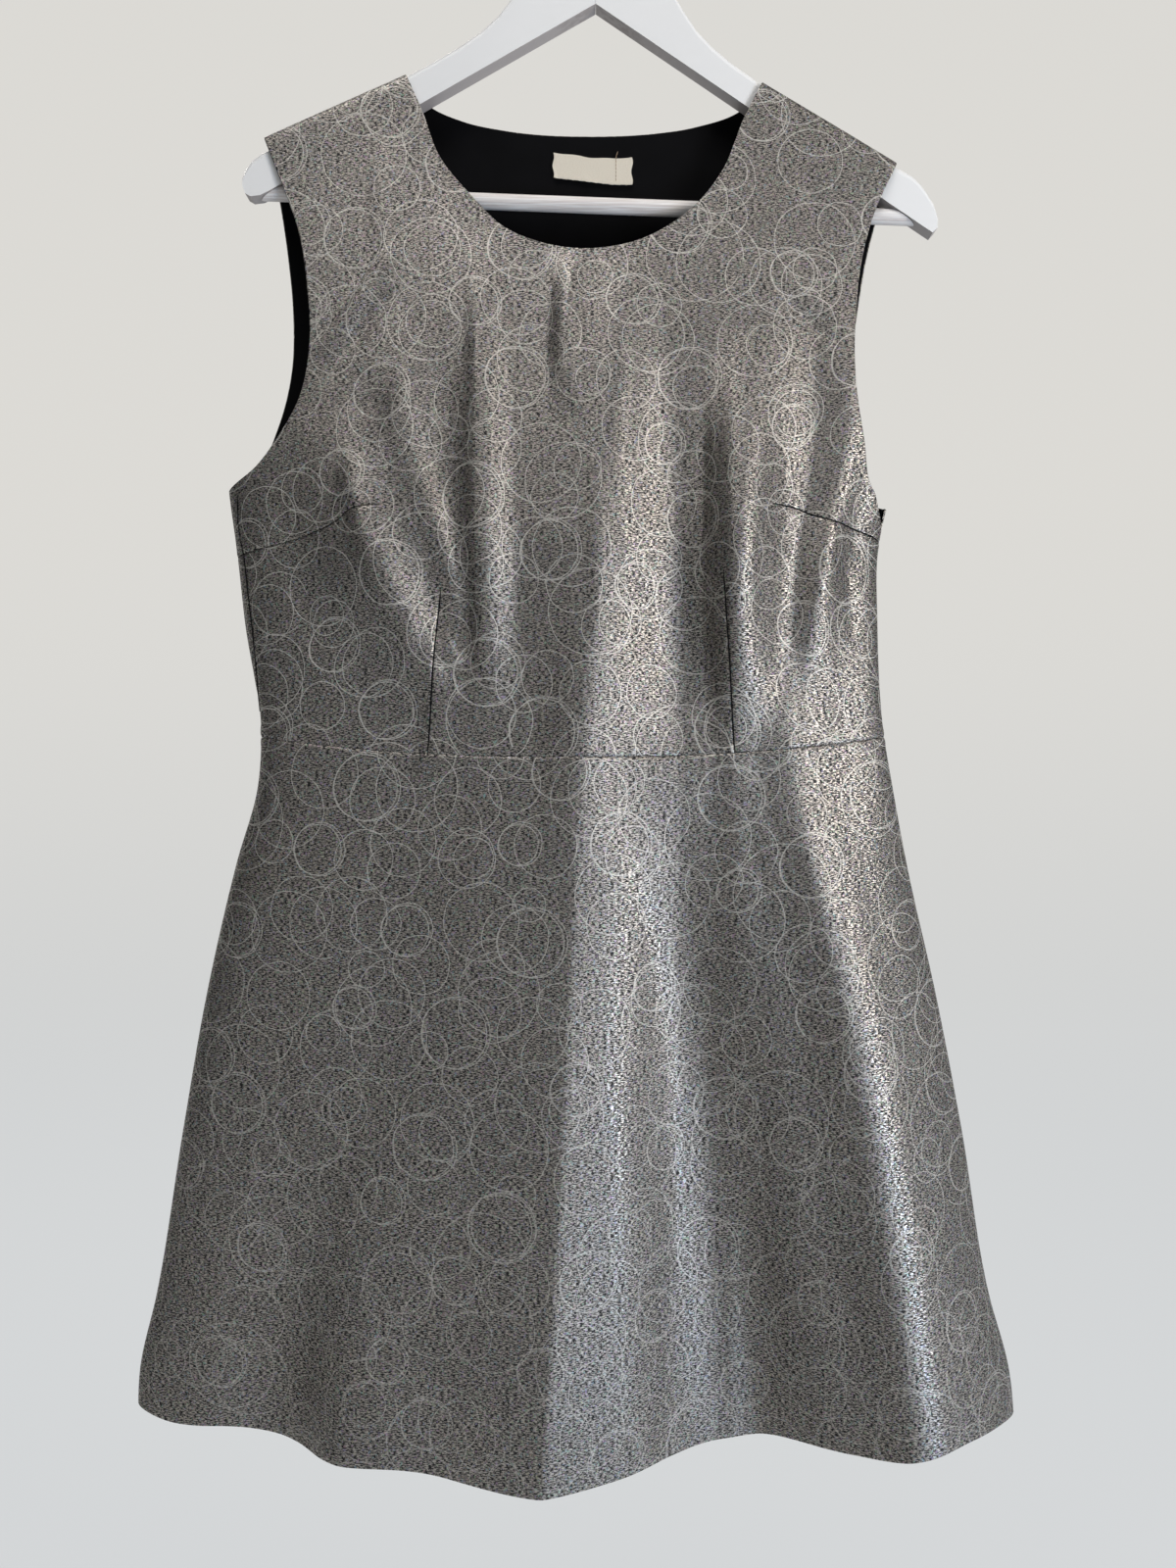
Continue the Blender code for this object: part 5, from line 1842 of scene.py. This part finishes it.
def make_floor():
    """A pale floor that sweeps up far behind the dress."""
    profile = [(SWEEP_FRONT, 0.0), (SWEEP_BEND, 0.0)]
    for step in range(1, SWEEP_STEPS + 1):
        angle = math.pi / 2 * step / SWEEP_STEPS
        profile.append((SWEEP_BEND + SWEEP_RADIUS * math.sin(angle),
                        SWEEP_RADIUS - SWEEP_RADIUS * math.cos(angle)))
    profile.append((SWEEP_BEND + SWEEP_RADIUS, SWEEP_TOP))
    sides = (-SWEEP_WIDTH, SWEEP_WIDTH)
    points = np.array([(x, y, z - FLOOR_LEVEL) for y, z in profile for x in sides])
    faces = [(2 * i, 2 * i + 1, 2 * i + 3, 2 * i + 2) for i in range(len(profile) - 1)]
    floor = add_mesh("studio_floor", points, faces, (paper_sweep(),))
    return floor


print("floor of", len(make_floor().data.polygons), "strips")

# %% [markdown]
# ## Light
#
# Shiny cloth shows what it mirrors. A tall soft light on the right rakes across the folds and
# gives the bright bands on the film. A weak blue one below it stands for the sky and cools the
# skirt. One above lifts the shoulders and the hanger, and one behind gives the far edges a thin
# rim.

# %% Lights
LIGHTS = (
    # name, place, what it points at, its size, watts, colour
    ("tall window", (1.36, -0.95, -0.4), (0.0, 0.0, -0.55), (0.42, 1.5), 18.5, "#fffaf5"),
    ("low sky light", (1.15, -1.0, -1.15), (0.08, 0.0, -0.9), (0.35, 0.5), 5.5, "#94caff"),
    ("lamp behind", (-0.8, 1.7, 0.9), (0.0, 0.0, -0.5), (0.8, 0.6), 16, "#fffaf2"),
    ("room fill", (-0.15, -0.7, 1.5), (0.0, 0.0, -0.1), (1.2, 0.5), 22, "#fffdfc"),
)


def soft_light(name, at, towards, size, watts, colour):
    """A rectangle of light that the camera does not see."""
    data = bpy.data.lights.new(name, "AREA")
    data.shape = "RECTANGLE"
    data.size, data.size_y = size
    data.energy = watts
    data.color = linear(colour)[:3]
    light = bpy.data.objects.new(name, data)
    light.location = at
    light.rotation_euler = (Vector(towards) - Vector(at)).to_track_quat("-Z", "Y").to_euler()
    light.visible_camera = False
    bpy.context.scene.collection.objects.link(light)
    return light


for row in LIGHTS:
    soft_light(*row)
print("soft lights:", len(LIGHTS))

# %% [markdown]
# ## The room that the film mirrors
#
# The world is the room round the dress. An evenly pale one would make the film flat, so what lies
# in front of the dress changes from side to side: a dim corner on the far left, a pale stretch
# beside it that turns greyer towards the middle, and a darker one beside the tall light. The
# ceiling is dim too. The camera itself sees one pale tone, so that the room's steps never show
# behind the dress.

# %% World
LEFT_SIDE, MIDDLE, DIM_CORNER = "#b4b6b6", "#717273", "#0a0a0b"
BESIDE_WINDOW, CEILING = "#5c5d5f", "#1c1c1d"
BEHIND, BEHIND_ON_THE_RIGHT = "#b9bbbb", "#505356"
SEEN_BY_CAMERA = "#dcdad6"


def room_in_front(tree, direction, bright):
    """The half of the room that the front of the dress mirrors, from left to right and up."""
    x, _, z = direction.outputs
    corner = add(tree, "ShaderNodeMapRange", SMOOTH, {0: x, 1: -0.92, 2: -0.5, 3: 0.0, 4: 1.0})
    left = add(tree, "ShaderNodeMapRange", SMOOTH, {0: x, 1: -0.4, 2: 0.0, 3: 1.0, 4: 0.0})
    ceiling = add(tree, "ShaderNodeMapRange", SMOOTH, {0: z, 1: 0.05, 2: 0.45, 3: 0.0, 4: 1.0})
    room = add(tree, "ShaderNodeMix", RGBA, {0: left, 6: linear(MIDDLE), 7: linear(LEFT_SIDE)})
    room = add(tree, "ShaderNodeMix", RGBA, {0: corner, 6: linear(DIM_CORNER), 7: room.outputs[2]})
    room = add(tree, "ShaderNodeMix", RGBA, {
        0: bright, 6: room.outputs[2], 7: linear(BESIDE_WINDOW)})
    return add(tree, "ShaderNodeMix", RGBA, {0: ceiling, 6: room.outputs[2], 7: linear(CEILING)})


def make_world():
    """A room with a dim left corner and a dim ceiling, and one pale tone to the camera."""
    world = bpy.data.worlds.new("soft room")
    bpy.context.scene.world = world
    world.use_nodes = True
    tree = world.node_tree
    place = add(tree, "ShaderNodeTexCoord")
    direction = add(tree, "ShaderNodeSeparateXYZ", {}, {0: place.outputs["Generated"]})
    front = add(tree, "ShaderNodeMapRange", SMOOTH, {
        0: direction.outputs["Y"], 1: 0.5, 2: 0.0, 3: 0.0, 4: 1.0})
    bright = add(tree, "ShaderNodeMapRange", {}, {
        0: direction.outputs["X"], 1: -0.1, 2: 0.65, 3: 0.0, 4: 1.0})
    back = add(tree, "ShaderNodeMix", RGBA, {
        0: bright, 6: linear(BEHIND), 7: linear(BEHIND_ON_THE_RIGHT)})
    room = room_in_front(tree, direction, bright)
    colour = add(tree, "ShaderNodeMix", RGBA, {0: front, 6: back.outputs[2], 7: room.outputs[2]})
    seen = add(tree, "ShaderNodeLightPath")
    colour = add(tree, "ShaderNodeMix", RGBA, {
        0: seen.outputs["Is Camera Ray"], 6: colour.outputs[2], 7: linear(SEEN_BY_CAMERA)})
    tree.links.new(colour.outputs[2], tree.nodes["Background"].inputs[0])
    return world


print("world:", make_world().name)
bpy.context.scene.view_settings.view_transform = "Standard"
